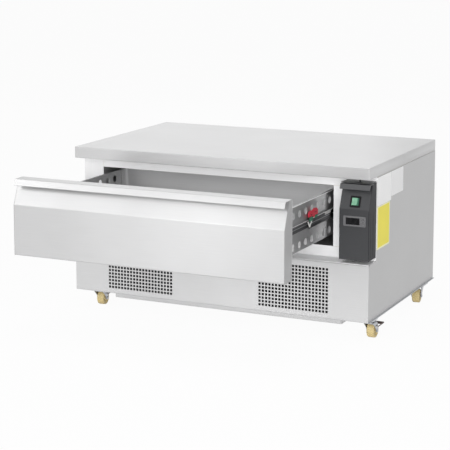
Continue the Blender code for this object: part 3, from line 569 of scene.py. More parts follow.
def make_sides():
    """Side panels that follow the step at the front, the right one with its blank stickers."""
    for side in ("left", "right"):
        x, y, z = span(f"side_panel_{side}")
        step_y, step_z = span("front_rail_top")[1][1] + 0.0003, span("compartment_deck")[2][1]
        outline = [(y[0], z[0]), (y[1], z[0]), (y[1], z[1]), (step_y, z[1]), (step_y, step_z), (y[0], step_z)]
        shape = carried(bent(outline, 0.0006, closed=True, steps=2), 0, x, closed=True)
        # The side skin takes the darker steel: painted shade on the side.
        piece(f"side_skin_{side}", [shape], shaded_steel_y, nodes=[f"side_panel_{side}"], bevel=0.0003)
    face = span("side_panel_right")[0][1]
    labels = {
        "label_white": ((0.0745, 0.213), (0.441, 0.537), label_white),
        "label_pale": ((0.215, 0.338), (0.453, 0.537), label_grey),
        "label_cream": ((0.0745, 0.2), (0.295, 0.44), label_cream),
    }
    for name, (y, z, finish) in labels.items():
        sticker = slab((face - 0.0001, face + STICKER), y, z, axis=0, corner=0.003, edge_highlight=0.0001)
        piece(name, [sticker], finish)
    print_y, print_z = (0.084, 0.196), (0.301, 0.436)
    printed = slab((face, face + PRINTED), print_y, print_z, axis=0, corner=0.002, edge_highlight=0.00005)
    piece("label_yellow", [printed], label_yellow)


def make_front_frame():
    """The posts and rails round the opening, with softened edges, so that their joints read as grooves. They
    and the ledge take a paler copy of the steel: painted light where they lie in shade.
    """
    for name in ("front_post_left", "front_post_right", "front_rail_top", "front_rail_bottom"):
        finish = lit_steel_z if "post" in name else lit_steel_x
        plate = slab(*span(name), axis=1, corner=0.0009, edge_highlight=0.0007)
        piece(f"{name}_plate", [plate], finish, nodes=[name])
    ledge = slab(*span("compartment_deck"), corner=0.0012)
    piece("ledge_deck", [ledge], lit_steel_x, nodes=["compartment_deck"])


def make_lower_front():
    """The machine compartment's front: a folded sheet with two grilles of square holes."""
    x, y, z = span("lower_front_panel")
    columns, rows = GRILLE_HOLES
    pitch_x = GRILLE_SIZE[0] / (columns - 1 + HOLE_SHARE)
    pitch_z = GRILLE_SIZE[1] / (rows - 1 + HOLE_SHARE)
    low_x = (np.array(GRILLE_X)[:, None] + pitch_x * np.arange(columns)).ravel()
    low_z = GRILLE_Z + pitch_z * np.arange(rows)
    lines_x = np.sort(np.concatenate([x, low_x, low_x + HOLE_SHARE * pitch_x]))
    lines_z = np.sort(np.concatenate([low_z, low_z + HOLE_SHARE * pitch_z]))
    middle, inner = y[0] + SHEET / 2, y[0] + PANEL_RETURN
    bottom, top = z[0] + SHEET / 2, z[1] - SHEET / 2
    lower_fold = bent([(inner, bottom), (middle, bottom), (middle, GRILLE_Z - 0.005)], FOLD)
    upper_fold = bent([(middle, lines_z[-1] + 0.005), (middle, top), (inner, top)], FOLD)
    upright = np.stack([np.full(len(lines_z), middle), lines_z], -1)
    line = np.concatenate([lower_fold, upright, upper_fold])
    holed_x = np.isin(lines_x[:-1], low_x)
    holed_z = np.isin(line[:-1, 1], low_z) & (line[:-1, 0] == middle)
    shape = carried(line, 0, lines_x, keep=~(holed_x[:, None] & holed_z[None]))
    # The panel takes the paler steel: painted light where the drawer shades it.
    piece("grille_panel", [shape], lit_steel_low, nodes=["lower_front_panel"], thick=SHEET)


def make_base():
    """The tray under the base, and the floor plate with its caster plates, bolts and swivel races."""
    x, y, (low, high) = span("base_tray")
    rows = [(0.0035, low), (0.001, low + 0.0007), (0.0, low + 0.003), (0.0, high), (SHEET, high)]
    rows += [(SHEET, low + 0.004), (0.003, low + 0.0022), (0.005, low + SHEET)]
    piece("drip_tray", [stacked(x, y, rows, 0.006)], steel_x, nodes=["base_tray"])

    x, y, (_low, top) = span("base_frame")
    shapes = [slab(x, y, (top - 0.002, top), corner=0.001, edge_highlight=0.0005)]
    race = [(0.0, -0.008), (0.0125, -0.008), (0.015, -0.0072), (0.0178, -0.0035)]
    race += [(0.018, -0.0005), (0.0, -0.0005)]
    bolt = [(0.0, -0.002), (0.0032, -0.002), (0.004, -0.0012), (0.004, 0.0), (0.0, 0.0)]
    head = turned(bolt, 2, (0.0, 0.0, 0.0632), steps=6)
    half_x, half_y = PLATE_HALF
    bolt_x, bolt_y = BOLT_PLACE
    for swivel_x, swivel_y, _turn in CASTERS.values():
        middle = min(swivel_x, x[1] - half_x)
        shapes.append(slab(about(middle, half_x), about(swivel_y, half_y), PLATE_Z, corner=0.004))
        shapes.append(turned(race, 2, (swivel_x, swivel_y, 0.0655)))
        rows, columns = about(middle, bolt_x), about(swivel_y, bolt_y)
        shapes.append(repeated(head, [(across, deep, 0.0) for across in rows for deep in columns]))
    piece("floor_plate", shapes, zinc, nodes=["base_frame"])


def make_back():
    """The back panel with pressed louvres, screws, and the mains inlet's cut-out."""
    x, y, z = span("back_panel")
    depth = y[1] - SHEET / 2
    width, height = LOUVRE_SIZE
    rows = LOUVRE_Z + LOUVRE_PITCH * np.arange(LOUVRE_ROWS)
    slots = [((left, left + width), (low, low + height)) for left in LOUVRE_X for low in rows]
    sheet = holed_sheet(1, depth, x + (0.0004, -0.0004), z, slots + [INLET_CUT])
    piece("rear_sheet", [sheet], steel_x, nodes=["back_panel"], thick=SHEET - 0.0001)
    hood = bent([(depth - 0.0008, 0.0092), (depth - 0.0075, 0.008), (depth - 0.01, -0.001)], 0.004)
    blades = []
    for (left, right), (low, _high) in slots:
        blades.append(carried(hood + (0.0, low), 0, (left - 0.002, right + 0.002)))
    piece("rear_louvres", blades, steel_x, thick=0.001)
    head = [(0.0, 0.001), (0.002, 0.0008), (0.0034, 0.0002), (0.0036, -0.0006), (0.0, -0.0006)]
    places = [(across, y[1], up) for across in SCREW_X for up in SCREW_Z]
    piece("rear_screws", [repeated(turned(head, 1, (0.0, 0.0, 0.0), steps=14), places)], zinc)


make_worktop()
make_sides()
make_front_frame()
make_lower_front()
make_base()
make_back()
dress("insulated_body", foam)
dress("cavity_liner", satin_y)


# The drawer


def front_line(depth, half):
    """The hooked front's sheet as two lines: its foot, face and slope, and its top with the lip."""
    top = FRONT_Z + FRONT_HEIGHT
    slope_top = SLOPE_RUN * (FRONT_HEIGHT - half - CREASE) / (FRONT_HEIGHT - CREASE)
    face = [(depth, FRONT_Z + half), (half, FRONT_Z + half), (half, FRONT_Z + CREASE)]
    face += [(slope_top + half, top - half)]
    hem = LIP_LEAN * 0.3
    lip = [(depth, top - half), (LIP_LEAN + half, top - half), (half, top - LIP_DROP + half)]
    lip += [(2.6 * half, top - LIP_DROP + half), (hem + 2.6 * half, top - LIP_DROP * 0.66)]
    return face, lip


def make_drawer_front():
    """The drawer's front: a slope over a flat face, a hooked grip, end caps, inner panel and gasket."""
    x, y, _z = span("drawer_front")
    back = y[1] - y[0]
    face, lip = front_line(back, SHEET / 2)
    shift = (y[0], 0.0)
    shapes = [carried(bent(face, (0, 0.004, 0.0015, 0)) + shift, 0, x)]
    shapes.append(carried(bent(lip, (0, 0.0018, 0.0008, 0.0008, 0)) + shift, 0, x))
    piece("front_skin", shapes, steel_x, "drawer", ["drawer_front"], thick=SHEET)

    outline = [(0, 0), (0, CREASE), (SLOPE_RUN, FRONT_HEIGHT), (back, FRONT_HEIGHT), (back, 0)]
    outline = bent(np.array(outline, float) + (y[0], FRONT_Z), 0.0015, closed=True, steps=3)
    for side in ("left", "right"):
        cap = carried(outline, 0, span(f"drawer_end_cap_{side}")[0], closed=True)
        # The end caps take the darker steel: painted shade on the drawer's sides.
        piece(f"end_cap_{side}", [cap], shaded_steel_z, "drawer", [f"drawer_end_cap_{side}"], bevel=0.0005)

    inner = slab(*span("drawer_inner_panel"), axis=1, corner=0.004, edge_highlight=0.0005)
    piece("inner_panel_plate", [inner], satin_x, "drawer", ["drawer_inner_panel"])
    dress("drawer_front_core", foam)

    x, (near, far), z = span("drawer_gasket")
    width = 0.02
    ribs = [(0.0, 0.0), (0.0, 0.25), (0.0018, 0.35), (0.0004, 0.5), (0.0016, 0.62), (0.0002, 0.78)]
    ribs += [(0.002, 1.0)]
    ribs += [(width - inset, share) for inset, share in ribs[::-1]]
    rows = [(inset, near + share * (far - near)) for inset, share in ribs]
    ring = stacked(x, z, rows, 0.008, axis=1, ring=True)
    piece("gasket_ring", [ring], seal, "drawer", ["drawer_gasket"], sharp=50)


def make_drawer_box():
    """The drawer's walls with two rows of round holes and a folded edge, and its floor and back."""
    for side in ("left", "right"):
        x, y, z = span(f"drawer_side_{side}")
        wall, inward = (x[0], 1) if side == "left" else (x[1], -1)
        middle = wall + inward * SHEET / 2
        first = OPEN + FIRST_HOLE - HOLE_PITCH / 2
        lines_y = np.concatenate([[y[0]], first + HOLE_PITCH * np.arange(HOLE_COUNT + 1), [y[1]]])
        lower, upper = HOLE_ROWS
        lines_z = [z[0] + FOLD, lower - HOLE_CELL + 0.001, lower + HOLE_CELL]
        lines_z += [upper - HOLE_CELL, upper + HOLE_CELL, z[1] - FOLD]
        radius = np.zeros((HOLE_COUNT + 2, len(lines_z) - 1))
        radius[1:-1, [1, 3]] = HOLE_RADIUS
        shapes = [round_holed(0, middle, lines_y, lines_z, radius)]
        flange = x[1] if side == "left" else x[0]
        for edge_highlight, towards in ((z[0] + SHEET / 2, 1), (z[1] - SHEET / 2, -1)):
            start = z[0] + FOLD if towards > 0 else z[1] - FOLD
            fold = bent([(middle, start), (middle, edge_highlight), (flange, edge_highlight)], 0.0022)
            shapes.append(carried(fold, 1, y))
        piece(f"wall_{side}", shapes, wall_y, "drawer", [f"drawer_side_{side}"], thick=SHEET)
        # A pale bead along the wall's top edge: a painted highlight.
        rim = (wall + inward * 0.00125, 0.0, z[1] - 0.00125)
        bead = turned([(0.0013, y[0]), (0.0013, y[1])], 1, rim, steps=12)
        piece(f"wall_edge_highlight_{side}", [bead], highlight_steel_y, "drawer")

    x, y, z = span("drawer_tray")
    floor = z[0] + SHEET / 2
    back = y[1] - SHEET / 2
    run = bent([(y[0], floor), (back, floor), (back, floor + 0.012)], 0.006)
    shapes = [carried(run, 0, x)]
    left, right = x[0] + SHEET / 2, x[1] - SHEET / 2
    plan = [(left, back - 0.03), (left, back), (right, back), (right, back - 0.03)]
    shapes.append(carried(bent(plan, 0.018, steps=8), 2, (floor + 0.008, z[1] - SHEET / 2)))
    piece("floor_and_back", shapes, satin_x, "drawer", ["drawer_tray"], thick=SHEET)


def channel(name, outward):
    """A slide member's section in x and z: a web with a rib at its middle, and a rolled edge above and below.

    The edges point away from the drawer on the members that carry it, and towards it on the cabinet's.
    """
    x, _y, z = span(name)
    half, lip, rib = 0.00055, 0.0042, 0.003
    low, high, middle = z[0] + half, z[1] - half, sum(z) / 2
    far_web = name.endswith("right") != outward
    web, reach = (x[1] - half, x[0] + half) if far_web else (x[0] + half, x[1] - half)
    raised = web + 0.45 * (reach - web)
    line = [(reach, low + lip), (reach, low), (web, low), (web, middle - rib), (raised, middle - rib / 2)]
    line += [(raised, middle + rib / 2), (web, middle + rib), (web, high), (reach, high), (reach, high - lip)]
    return bent(line, (0, 0.0013, 0.0013, 0.001, 0.0006, 0.0006, 0.001, 0.0013, 0.0013, 0))


def make_slides():
    """Three-part slides, each with a red lever, green pads, a white hook and its ball cage's pale end."""
    foot = span("slide_middle_right")[2][1] + 0.0003
    lever = [(0.0715, 0.429), (0.102, 0.429), (0.104, foot), (0.142, foot), (0.148, 0.431)]
    lever += [(0.148, 0.443), (0.138, 0.45), (0.118, 0.452), (0.104, 0.4465), (0.09, 0.449)]
    lever += [(0.0715, 0.444)]
    hook = [(0.058, 0.4165), (0.0735, 0.3965), (0.0775, 0.3965), (0.095, 0.4145), (0.0905, 0.416)]
    hook += [(0.0755, 0.4025), (0.0625, 0.418)]
    beside = span("slide_middle_right")[0][1] + np.array((0.0001, 0.0016))
    fittings = {"pads": [], "hook": [], "cage_end": []}
    for y, z in (((0.073, 0.103), (0.415, 0.4285)), ((0.12, 0.141), (0.419, 0.429))):
        fittings["pads"].append(slab(beside, np.array(y) + HALF_OPEN, z, axis=0, corner=0.002, edge_highlight=0.0004))
    outline = bent(np.array(hook) + (HALF_OPEN, 0.0), 0.0008, closed=True)
    fittings["hook"].append(carried(outline, 0, beside, closed=True))
    cage = slab(beside, (0.009, 0.058), (0.4132, 0.4238), axis=0, corner=0.003, edge_highlight=0.0005)
    fittings["cage_end"].append(cage)
    finishes = {"pads": green_pads_and_lens_shade, "hook": white, "cage_end": pale}
    middle = sum(span("drawer_tray")[0]) / 2
    for side in ("left", "right"):
        bodies = {"inner": "drawer", "middle": f"slide_carriage_{side}", "outer": "cabinet"}
        for kind, body in bodies.items():
            name = f"slide_{kind}_{side}"
            x, y, z = span(name)
            section = channel(name, kind != "outer")
            # The channel takes the darker zinc: painted shade in the web under the rolled edges.
            piece(f"{name}_channel", [carried(section, 1, y)], zinc_painted_shade, body, [name], thick=0.0011)
            # A pale bead along the member's edge: a painted highlight.
            edge_highlight = x[1] - 0.0009 if (side == "right") == (kind != "outer") else x[0] + 0.0009
            crest = (section[:, 0].min() + section[:, 0].max()) / 2
            bead = [(0.0009, y[0]), (0.0009, y[1])]
            piece(f"{name}_edge", [turned(bead, 1, (edge_highlight, 0.0, z[1] - 0.0009), steps=10)], highlight_steel_y, body)
            piece(f"{name}_rib", [turned(bead, 1, (crest, 0.0, sum(z) / 2), steps=10)], zinc, body)
        outline = bent(np.array(lever) + (HALF_OPEN, 0.0), 0.0028, closed=True)
        latch_x = span(f"slide_latch_{side}")[0]
        shape = carried(outline, 0, latch_x, closed=True)
        piece(f"lever_{side}", [shape], red, f"latch_{side}", [f"slide_latch_{side}"], bevel=0.0008)
        # Two flat darker red patches on the lever's face: painted shade in its grip's grooves.
        grooves = []
        proud = latch_x + (-0.0001, 0.0001)
        for y, z in (((0.086, 0.098), (0.433, 0.4365)), ((0.118, 0.135), (0.437, 0.44))):
            grooves.append(slab(proud, np.array(y) + HALF_OPEN, z, axis=0, corner=0.0012, edge_highlight=0.0001))
        piece(f"lever_groove_shade_{side}", grooves, groove_shade_red, f"latch_{side}")
        for name, shapes in fittings.items():
            if side == "left":
                shapes = [mirrored(shape, middle) for shape in shapes]
            piece(f"{name}_{side}", shapes, finishes[name], bodies["middle"])


make_drawer_front()
make_drawer_box()
make_slides()


# The controls


def make_housing():
    """The control housing in moulded plastic: the shell with its two openings, the cheeks and the hood."""
    x, y, _z = span("control_housing")
    wall = 0.003
    half = wall / 2
    depth = y[1] - y[0]
    foot, corner, crease, slope_top = np.array(front_line(depth, half)[0])
    bezel_x, _bezel_y, bezel_z = span("thermostat_body")
    window = (bezel_x + (0.003, -0.003), bezel_z + (0.003, -0.003))
    well = ((1.0328, 1.0632), (crease[1] + 0.009, crease[1] + 0.0388))
    on_face = [(half, height) for height in window[1]]
    rise = (slope_top - crease) / (slope_top[1] - crease[1])
    on_rise = [crease + rise * (height - crease[1]) for height in well[1]]
    line = bent([foot, corner, *on_face, crease, *on_rise, slope_top], (0, 0.003, 0, 0, 0.002, 0, 0, 0))
    stations = np.sort([x[0] + 0.001, *window[0], *well[0], x[1] - 0.001])
    shell = carried(line, 0, stations, keep=open_cells(stations, line[:, 1], [window, well]))
    piece("housing_shell", [shell], charcoal, nodes=["control_housing"], thick=wall)

    top = FRONT_Z + FRONT_HEIGHT
    under = FRONT_HEIGHT - wall
    run = SLOPE_RUN * (under - CREASE) / (FRONT_HEIGHT - CREASE)
    outline = np.array([(0, 0), (0, CREASE), (run, under), (depth, under), (depth, 0)], float)
    outline = bent(outline + (0.0, FRONT_Z), 0.002, closed=True)
    for side, place in (("left", (x[0] + 0.0003, x[0] + wall)), ("right", (x[1] - wall, x[1] - 0.0003))):
        # The cheeks take the darker plastic: painted shade on the housing's sides.
        piece(f"housing_cheek_{side}", [carried(outline, 0, place, closed=True)], shaded_charcoal, bevel=0.0008)

    shelf = top - 0.0038
    lip = [(0.0, top - LIP_DROP), (LIP_LEAN * 0.82, shelf), (0.04, shelf), (0.04, shelf - 0.0024)]
    lip += [(LIP_LEAN * 0.82 + 0.003, shelf - 0.0024), (0.0032, top - LIP_DROP)]
    lip = bent(lip, (0.001, 0.0008, 0.0005, 0.0005, 0.002, 0.001), closed=True)
    blade = carried(lip, 0, x, closed=True)
    plate = slab(x, (LIP_LEAN, depth), (top - 0.001, top), corner=0.002, edge_highlight=0.0003)
    # A black block at the back of the slot under the top plate: painted shade that keeps the slot dark.
    slot_shade = slab(x + (0.004, -0.004), (0.03, depth - 0.002), (shelf - 0.001, top - 0.0008), corner=0.002)
    # The hood's lip and the top take the lighter plastic: painted light.
    piece("housing_hood", [blade], charcoal_painted_light)
    piece("housing_top", [plate], charcoal_painted_light)
    piece("hood_slot_shade", [slot_shade], black)
    pin = [(0.0, 0.0085), (0.0018, 0.008), (0.0026, 0.0062), (0.0026, 0.0)]
    pin += [(0.004, -0.0002), (0.0, -0.0004)]
    piece("housing_pin", [turned(pin, 2, (1.056, 0.03, top), steps=16)], black)
    # Two thin black strips down the right cheek, which make two dark bands there.
    strips = []
    for y, high, proud in (((0.04, 0.057), 0.42, 0.0002), ((0.016, 0.023), 0.43, 0.0001)):
        strips.append(slab((x[1] - 0.001, x[1] + proud), y, (0.2815, high), axis=0, edge_highlight=0.0002))
    piece("cheek_dark_bands", strips, black)


def on_slope(shape):
    """A shape given where the rocker sits on the housing's slope: y is square to the slope, z runs up it."""
    angle = -math.atan2(SLOPE_RUN, FRONT_HEIGHT - CREASE)
    up = CREASE + 0.024
    seat = (1.048, SLOPE_RUN * (up - CREASE) / (FRONT_HEIGHT - CREASE), FRONT_Z + up)
    cosine, sine = math.cos(angle), math.sin(angle)
    turning = np.array([[1, 0, 0], [0, cosine, -sine], [0, sine, cosine]])
    return shape[0] @ turning.T + seat, shape[1]


def make_rocker():
    """The lit rocker in its bezel: a frame with a sunk well, and a lens that dips in the middle. Its right
    end is a darker green piece: painted shade on the lens's side.
    """
    rows = [(0.0056, 0.005), (0.0056, -0.0012), (0.005, -0.002), (0.0012, -0.0022), (0.0003, -0.0016)]
    rows += [(0.0, -0.0003), (0.0, 0.0006), (0.003, 0.0006), (0.003, 0.005)]
    ring = stacked((-0.018, 0.018), (-0.019, 0.019), rows, 0.003, axis=1, ring=True)
    well = slab((-0.015, 0.015), (0.004, 0.009), (-0.016, 0.016), axis=1, corner=0.002)
    piece("rocker_frame", [on_slope(ring), on_slope(well)], black, nodes=["rocker_bezel"])
    tip = [(-0.0055, -0.0128), (-0.0025, 0.0), (-0.0035, 0.0128), (0.0045, 0.0112), (0.0065, 0.0)]
    tip += [(0.0045, -0.0112)]
    outline = bent(tip, 0.0016, closed=True)
    shoulder, edge_highlight = 0.007, 0.0115
    lens = carried(outline, 0, (-edge_highlight, shoulder), closed=True)
    piece("rocker_lens", [on_slope(lens)], green, "rocker", ["rocker_switch"], bevel=0.0008, sharp=50)
    depth, height = outline.T
    level = 0.0015
    sunk = np.where(depth < level, level + 0.3 * (depth - level), depth)
    across = np.array([shoulder, edge_highlight])[:, None]
    side = grid(placed(0, across, np.stack([depth, sunk]), height), wrap=(False, True), ends=True)
    # The lens's right end in darker green: painted shade on its side.
    piece("rocker_shaded_side", [on_slope(side)], green_pads_and_lens_shade, "rocker")


def make_thermostat():
    """The thermostat: a soft-edged bezel with a sunk display and two buttons in their pockets."""
    x, y, z = span("thermostat_body")
    window_x, _window_y, window_z = span("thermostat_display")
    buttons = [span(f"thermostat_button_{number}") for number in (1, 2)]
    pad = 0.0003
    holes = [(window_x + (-pad, pad), window_z + (-pad, pad))]
    holes += [(button[0] + (-pad, pad), button[2] + (-pad, pad)) for button in buttons]
    face = holed_sheet(1, y[0] + 0.0009, x + (0.0012, -0.0012), z + (0.0012, -0.0012), holes)
    rim_rows = [(0.003, 0.0004), (0.0016, 0.0), (0.0004, 0.0006), (0.0, 0.0015), (0.001, 0.0015)]
    rim_rows += [(0.003, 0.0012)]
    rows = [(inset, y[0] + depth) for inset, depth in rim_rows]
    rim = stacked(x, z, rows, 0.004, axis=1, ring=True)
    piece("thermostat_bezel", [rim], grey_plastic, nodes=["thermostat_body"])
    piece("thermostat_face", [face], grey_plastic, thick=0.001)
    glass = slab(window_x, (y[0] + 0.0007, y[0] + 0.003), window_z, axis=1, corner=0.0008, edge_highlight=0.0003)
    piece("display_glass", [glass], glass_black, nodes=["thermostat_display"])
    for number, (x, (near, far), z) in enumerate(buttons, 1):
        rows = [(0.0022, near), (0.001, near + 0.0003), (0.0002, near + 0.001), (0.0, near + 0.002)]
        rows += [(0.0, far)]
        cap = stacked(x, z, rows, 0.0022, axis=1)
        node = f"thermostat_button_{number}"
        piece(f"button_cap_{number}", [cap], grey_plastic, f"button_{number}", [node])


make_housing()
make_rocker()
make_thermostat()


# The machinery


def make_compressor():
    """The compressor: a drawn pot with a welded seam, on a foot plate with mounts, and a terminal box."""
    foot = span("compressor")[2][0]
    profile = [(0.0, 0.01), (0.052, 0.01), (0.062, 0.016), (0.068, 0.03), (0.07, 0.062), (0.0715, 0.0655)]
    profile += [(0.0735, 0.067), (0.0735, 0.071), (0.0715, 0.0725), (0.0705, 0.076), (0.069, 0.112)]
    profile += [(0.063, 0.132), (0.045, 0.1475), (0.02, 0.1535), (0.0, 0.155)]
    pot = turned(profile, 2, (*COMPRESSOR, foot), steps=56)
    plate = slab((0.722, 0.878), (0.35, 0.49), (foot + 0.004, foot + 0.008), corner=0.02)
    mount = [(0.0, 0.0), (0.01, 0.0), (0.01, 0.003), (0.007, 0.005), (0.007, 0.011), (0.003, 0.013)]
    mount += [(0.0, 0.013)]
    corners = [(across, deep, foot) for across in (0.74, 0.86) for deep in (0.366, 0.474)]
    mounts = repeated(turned(mount, 2, (0, 0, 0), steps=20), corners)
    box = slab((0.775, 0.825), (0.329, 0.362), (foot + 0.05, foot + 0.1), axis=1, corner=0.005, edge_highlight=0.002)
    piece("compressor_pot", [pot, plate, mounts, box], enamel, nodes=["compressor"])


def hairpin(along, low, high):
    """A pipe out along one level, round a bend and back along the next, in pairs of its place and level."""
    levels = (low, low, low, low + 0.006, high - 0.006, high, high, high)
    return zip((*along, *along[::-1]), levels)


def make_condenser():
    """The condenser: painted fins on hairpin pipes, the pipe from the compressor, and the one back to it."""
    fin_x = 0.146 + 0.0042 * np.arange(60)
    fin = slab((-0.0002, 0.0002), (0.03, 0.076), (0.082, 0.24), axis=0, corner=0.001, edge_highlight=0.0001)
    shapes = [repeated(fin, [(across, 0.0, 0.0) for across in fin_x])]
    piece("condenser_fins", shapes, dark_fins, nodes=["condenser_coil"])
    pipes = []
    heights = 0.092 + 0.023 * np.arange(6)
    for deep in (0.0415, 0.0645):
        for low, high in heights.reshape(-1, 2):
            run = [(across, deep, up) for across, up in hairpin((0.398, 0.25, 0.15, 0.1425), low, high)]
            pipes.append(tube(run, 0.0032, sides=8, steps=5, level=(0.0, 1.0, 0.05)))
    route = [(0.39, 0.053, 0.2), (0.41, 0.053, 0.2), (0.44, 0.055, 0.205), (0.5, 0.08, 0.236)]
    route += [(0.6, 0.2, 0.246), (0.77, 0.39, 0.247), (0.798, 0.418, 0.24), (*COMPRESSOR, 0.2237)]
    piece("condenser_pipes", pipes, enamel)
    piece("discharge_pipe", [tube(route, 0.004, level=(0.6, -0.7, 0.1))], copper)
    route = [(1.0, 0.38, 0.3096), (1.0, 0.38, 0.29), (1.0, 0.38, 0.25), (1.0, 0.38, 0.17)]
    route += [(0.985, 0.402, 0.145), (0.95, 0.418, 0.141), (0.9, 0.42, 0.141), (0.8705, 0.42, 0.141)]
    piece("return_line", [tube(route, 0.006, level=(0.2, -0.9, 0.1))], copper, nodes=["suction_line"])


def fan(centre, inner, outer, width, count):
    """A rotor: a hub, and blades that twist from the hub to a broad tip.

    A blade's point is the radius along its angle, plus a chord that swings from steep at the hub to flat
    at the tip.
    """
    share = np.linspace(0, 1, 7)[:, None]
    chord = np.linspace(-1, 1, 7)[None]
    radius = inner - 0.001 + (outer - inner + 0.001) * share
    half = (0.008 + 0.01 * share) * (outer / 0.062)
    pitch = np.radians(38 - 16 * share)
    across = half * chord * np.cos(pitch)
    deep = np.clip(half * chord * np.sin(pitch), -width / 2, width / 2)
    angle = 2 * math.pi * np.arange(count)[:, None, None] / count
    swing = angle + across / radius
    points = placed(1, deep, radius * np.cos(swing), radius * np.sin(swing)) + centre
    blades = [grid(one) for one in points]
    end = width / 2 - 0.0006
    hub = [(0.0036, -end), (inner - 0.002, -end), (inner, -end + 0.002), (inner, end), (0.0036, end)]
    return blades, turned(hub, 1, centre, ring=True, steps=28)


def make_fans():
    """Both fans: rotors, and their mounts with a motor on a cross bar."""
    for name, centre, inner, outer, width in (
        ("condenser_fan", CONDENSER_FAN, 0.018, 0.0615, 0.014),
        ("evaporator_fan", EVAPORATOR_FAN, 0.012, 0.0335, 0.012),
    ):
        blades, hub = fan(centre, inner, outer, width, FAN_BLADES)
        piece(f"{name}_rotor", blades, black, name, [f"{name}_blade"], thick=0.001)
        piece(f"{name}_hub", [hub], black, name)

    across, _deep, up = CONDENSER_FAN
    centre = (across, 0.0, up)
    shroud = round_holed(1, 0.081, (0.14, 0.4), (0.082, 0.24), [[0.07]], steps=48)
    lip = [(0.07, 0.0805), (0.07, 0.086), (0.0712, 0.086), (0.0712, 0.0805)]
    motor = [(0.0, 0.113), (0.02, 0.113), (0.0235, 0.116), (0.0235, 0.14), (0.02, 0.145)]
    motor += [(0.0, 0.1455)]
    shaft = [(0.0, 0.094), (0.003, 0.094), (0.003, 0.114), (0.0, 0.114)]
    shapes = [turned(lip, 1, centre, ring=True, steps=48), turned(motor, 1, centre)]
    shapes.append(turned(shaft, 1, centre, steps=12))
    shapes.append(slab(about(across, 0.08), (0.116, 0.119), about(up, 0.004), axis=1))
    for post in about(across, 0.078):
        shapes.append(slab(about(post, 0.004), (0.0812, 0.1195), about(up, 0.005), axis=0))
    # The shroud and motor take the darker zinc: painted shade behind the grille's holes.
    piece("condenser_shroud", [shroud], zinc_painted_shade, nodes=["condenser_fan_mount"], thick=0.0016)
    piece("condenser_motor", shapes, zinc_painted_shade)

    across, _deep, up = EVAPORATOR_FAN
    centre = (across, 0.0, up)
    wall_z = (0.299, 0.35, 0.45, 0.501)
    wall = round_holed(1, 0.485, (0.952, 1.039), wall_z, [[0.0, 0.036, 0.0]], steps=40)
    motor = [(0.0, 0.4866), (0.015, 0.4866), (0.017, 0.4885), (0.017, 0.508), (0.014, 0.5115)]
    motor += [(0.0, 0.5118)]
    shaft = [(0.0, 0.465), (0.003, 0.465), (0.003, 0.488), (0.0, 0.488)]
    bar = slab(about(across, 0.04), (0.4862, 0.489), about(up, 0.004), axis=1)
    piece("evaporator_wall", [wall], zinc, nodes=["evaporator_fan_mount"], thick=0.0016)
    piece("evaporator_motor", [turned(motor, 1, centre), turned(shaft, 1, centre, steps=12), bar], zinc)


def make_cold_side():
    """The evaporator: fins on copper bends, behind a slotted cover."""
    fin_y = 0.154 + 0.005 * np.arange(50)
    fin = slab((0.958, 1.034), (-0.0002, 0.0002), (0.31, 0.49), axis=1, corner=0.001, edge_highlight=0.0001)
    fins = repeated(fin, [(0.0, deep, 0.0) for deep in fin_y])
    piece("evaporator_fins", [fins], fins_finish, nodes=["evaporator_coil"])
    bends = []
    for across in (0.978, 1.014):
        for low in 0.325 + 0.05 * np.arange(3):
            run = [(across, deep, up) for deep, up in hairpin((0.4, 0.28, 0.16, 0.152), low, low + 0.025)]
            bends.append(tube(run, 0.0035, sides=8, steps=5, level=(1.0, 0.0, 0.05)))
    piece("evaporator_bends", bends, copper)

    x, y, z = span("evaporator_cover")
    slots = []
    for start in (0.15, 0.54):
        for row in range(4):
            low = start + 0.024 * row
            slots += [((low, low + 0.01), (0.31, 0.37)), ((low, low + 0.01), (0.44, 0.49))]
    cover = holed_sheet(0, sum(x) / 2, y, z, slots)
    piece("evaporator_grille", [cover], satin_y, nodes=["evaporator_cover"], thick=SHEET)


def make_electrics():
    """The pan for melt water, the electrical box with its glands, and the mains inlet with its pins."""
    x, y, (low, high) = span("condensate_pan")
    rows = [(0.004, low), (0.001, low + 0.001), (0.0005, low + 0.004), (0.0, high), (0.002, high)]
    rows += [(0.0025, low + 0.004), (0.005, low + 0.002)]
    piece("melt_pan", [stacked(x, y, rows, 0.01)], black, nodes=["condensate_pan"])

    x, y, z = span("electrical_box")
    box = slab(x, y, z, corner=0.006, edge_highlight=0.003)
    gland = [(0.0, 0.0), (0.009, 0.0), (0.009, 0.004), (0.006, 0.006), (0.005, 0.012), (0.0, 0.012)]
    glands = repeated(turned(gland, 1, (0, 0, 0), steps=18), [(0.96, y[1], 0.1), (1.03, y[1], 0.1)])
    piece("electrical_case", [box, glands], black, nodes=["electrical_box"])

    x, y, z = span("power_inlet")
    rows = [(0.0, y[0]), (0.0, y[1] - 0.002), (0.001, y[1]), (0.0045, y[1]), (0.005, y[1] - 0.001)]
    rows += [(0.005, 0.682), (0.007, 0.6818)]
    pins = [((low, low + 0.002), (0.682, 0.696), (0.114, 0.12)) for low in (0.9755, 0.9925)]
    pins += [((0.984, 0.986), (0.682, 0.697), (0.121, 0.127))]
    piece("inlet_socket", [stacked(x, z, rows, 0.004, axis=1)], black, nodes=["power_inlet"])
    piece("inlet_pins", [slab(*pin, axis=1, corner=0.0008, edge_highlight=0.0004) for pin in pins], zinc)


make_compressor()
make_condenser()
make_fans()
make_cold_side()
make_electrics()


# Casters


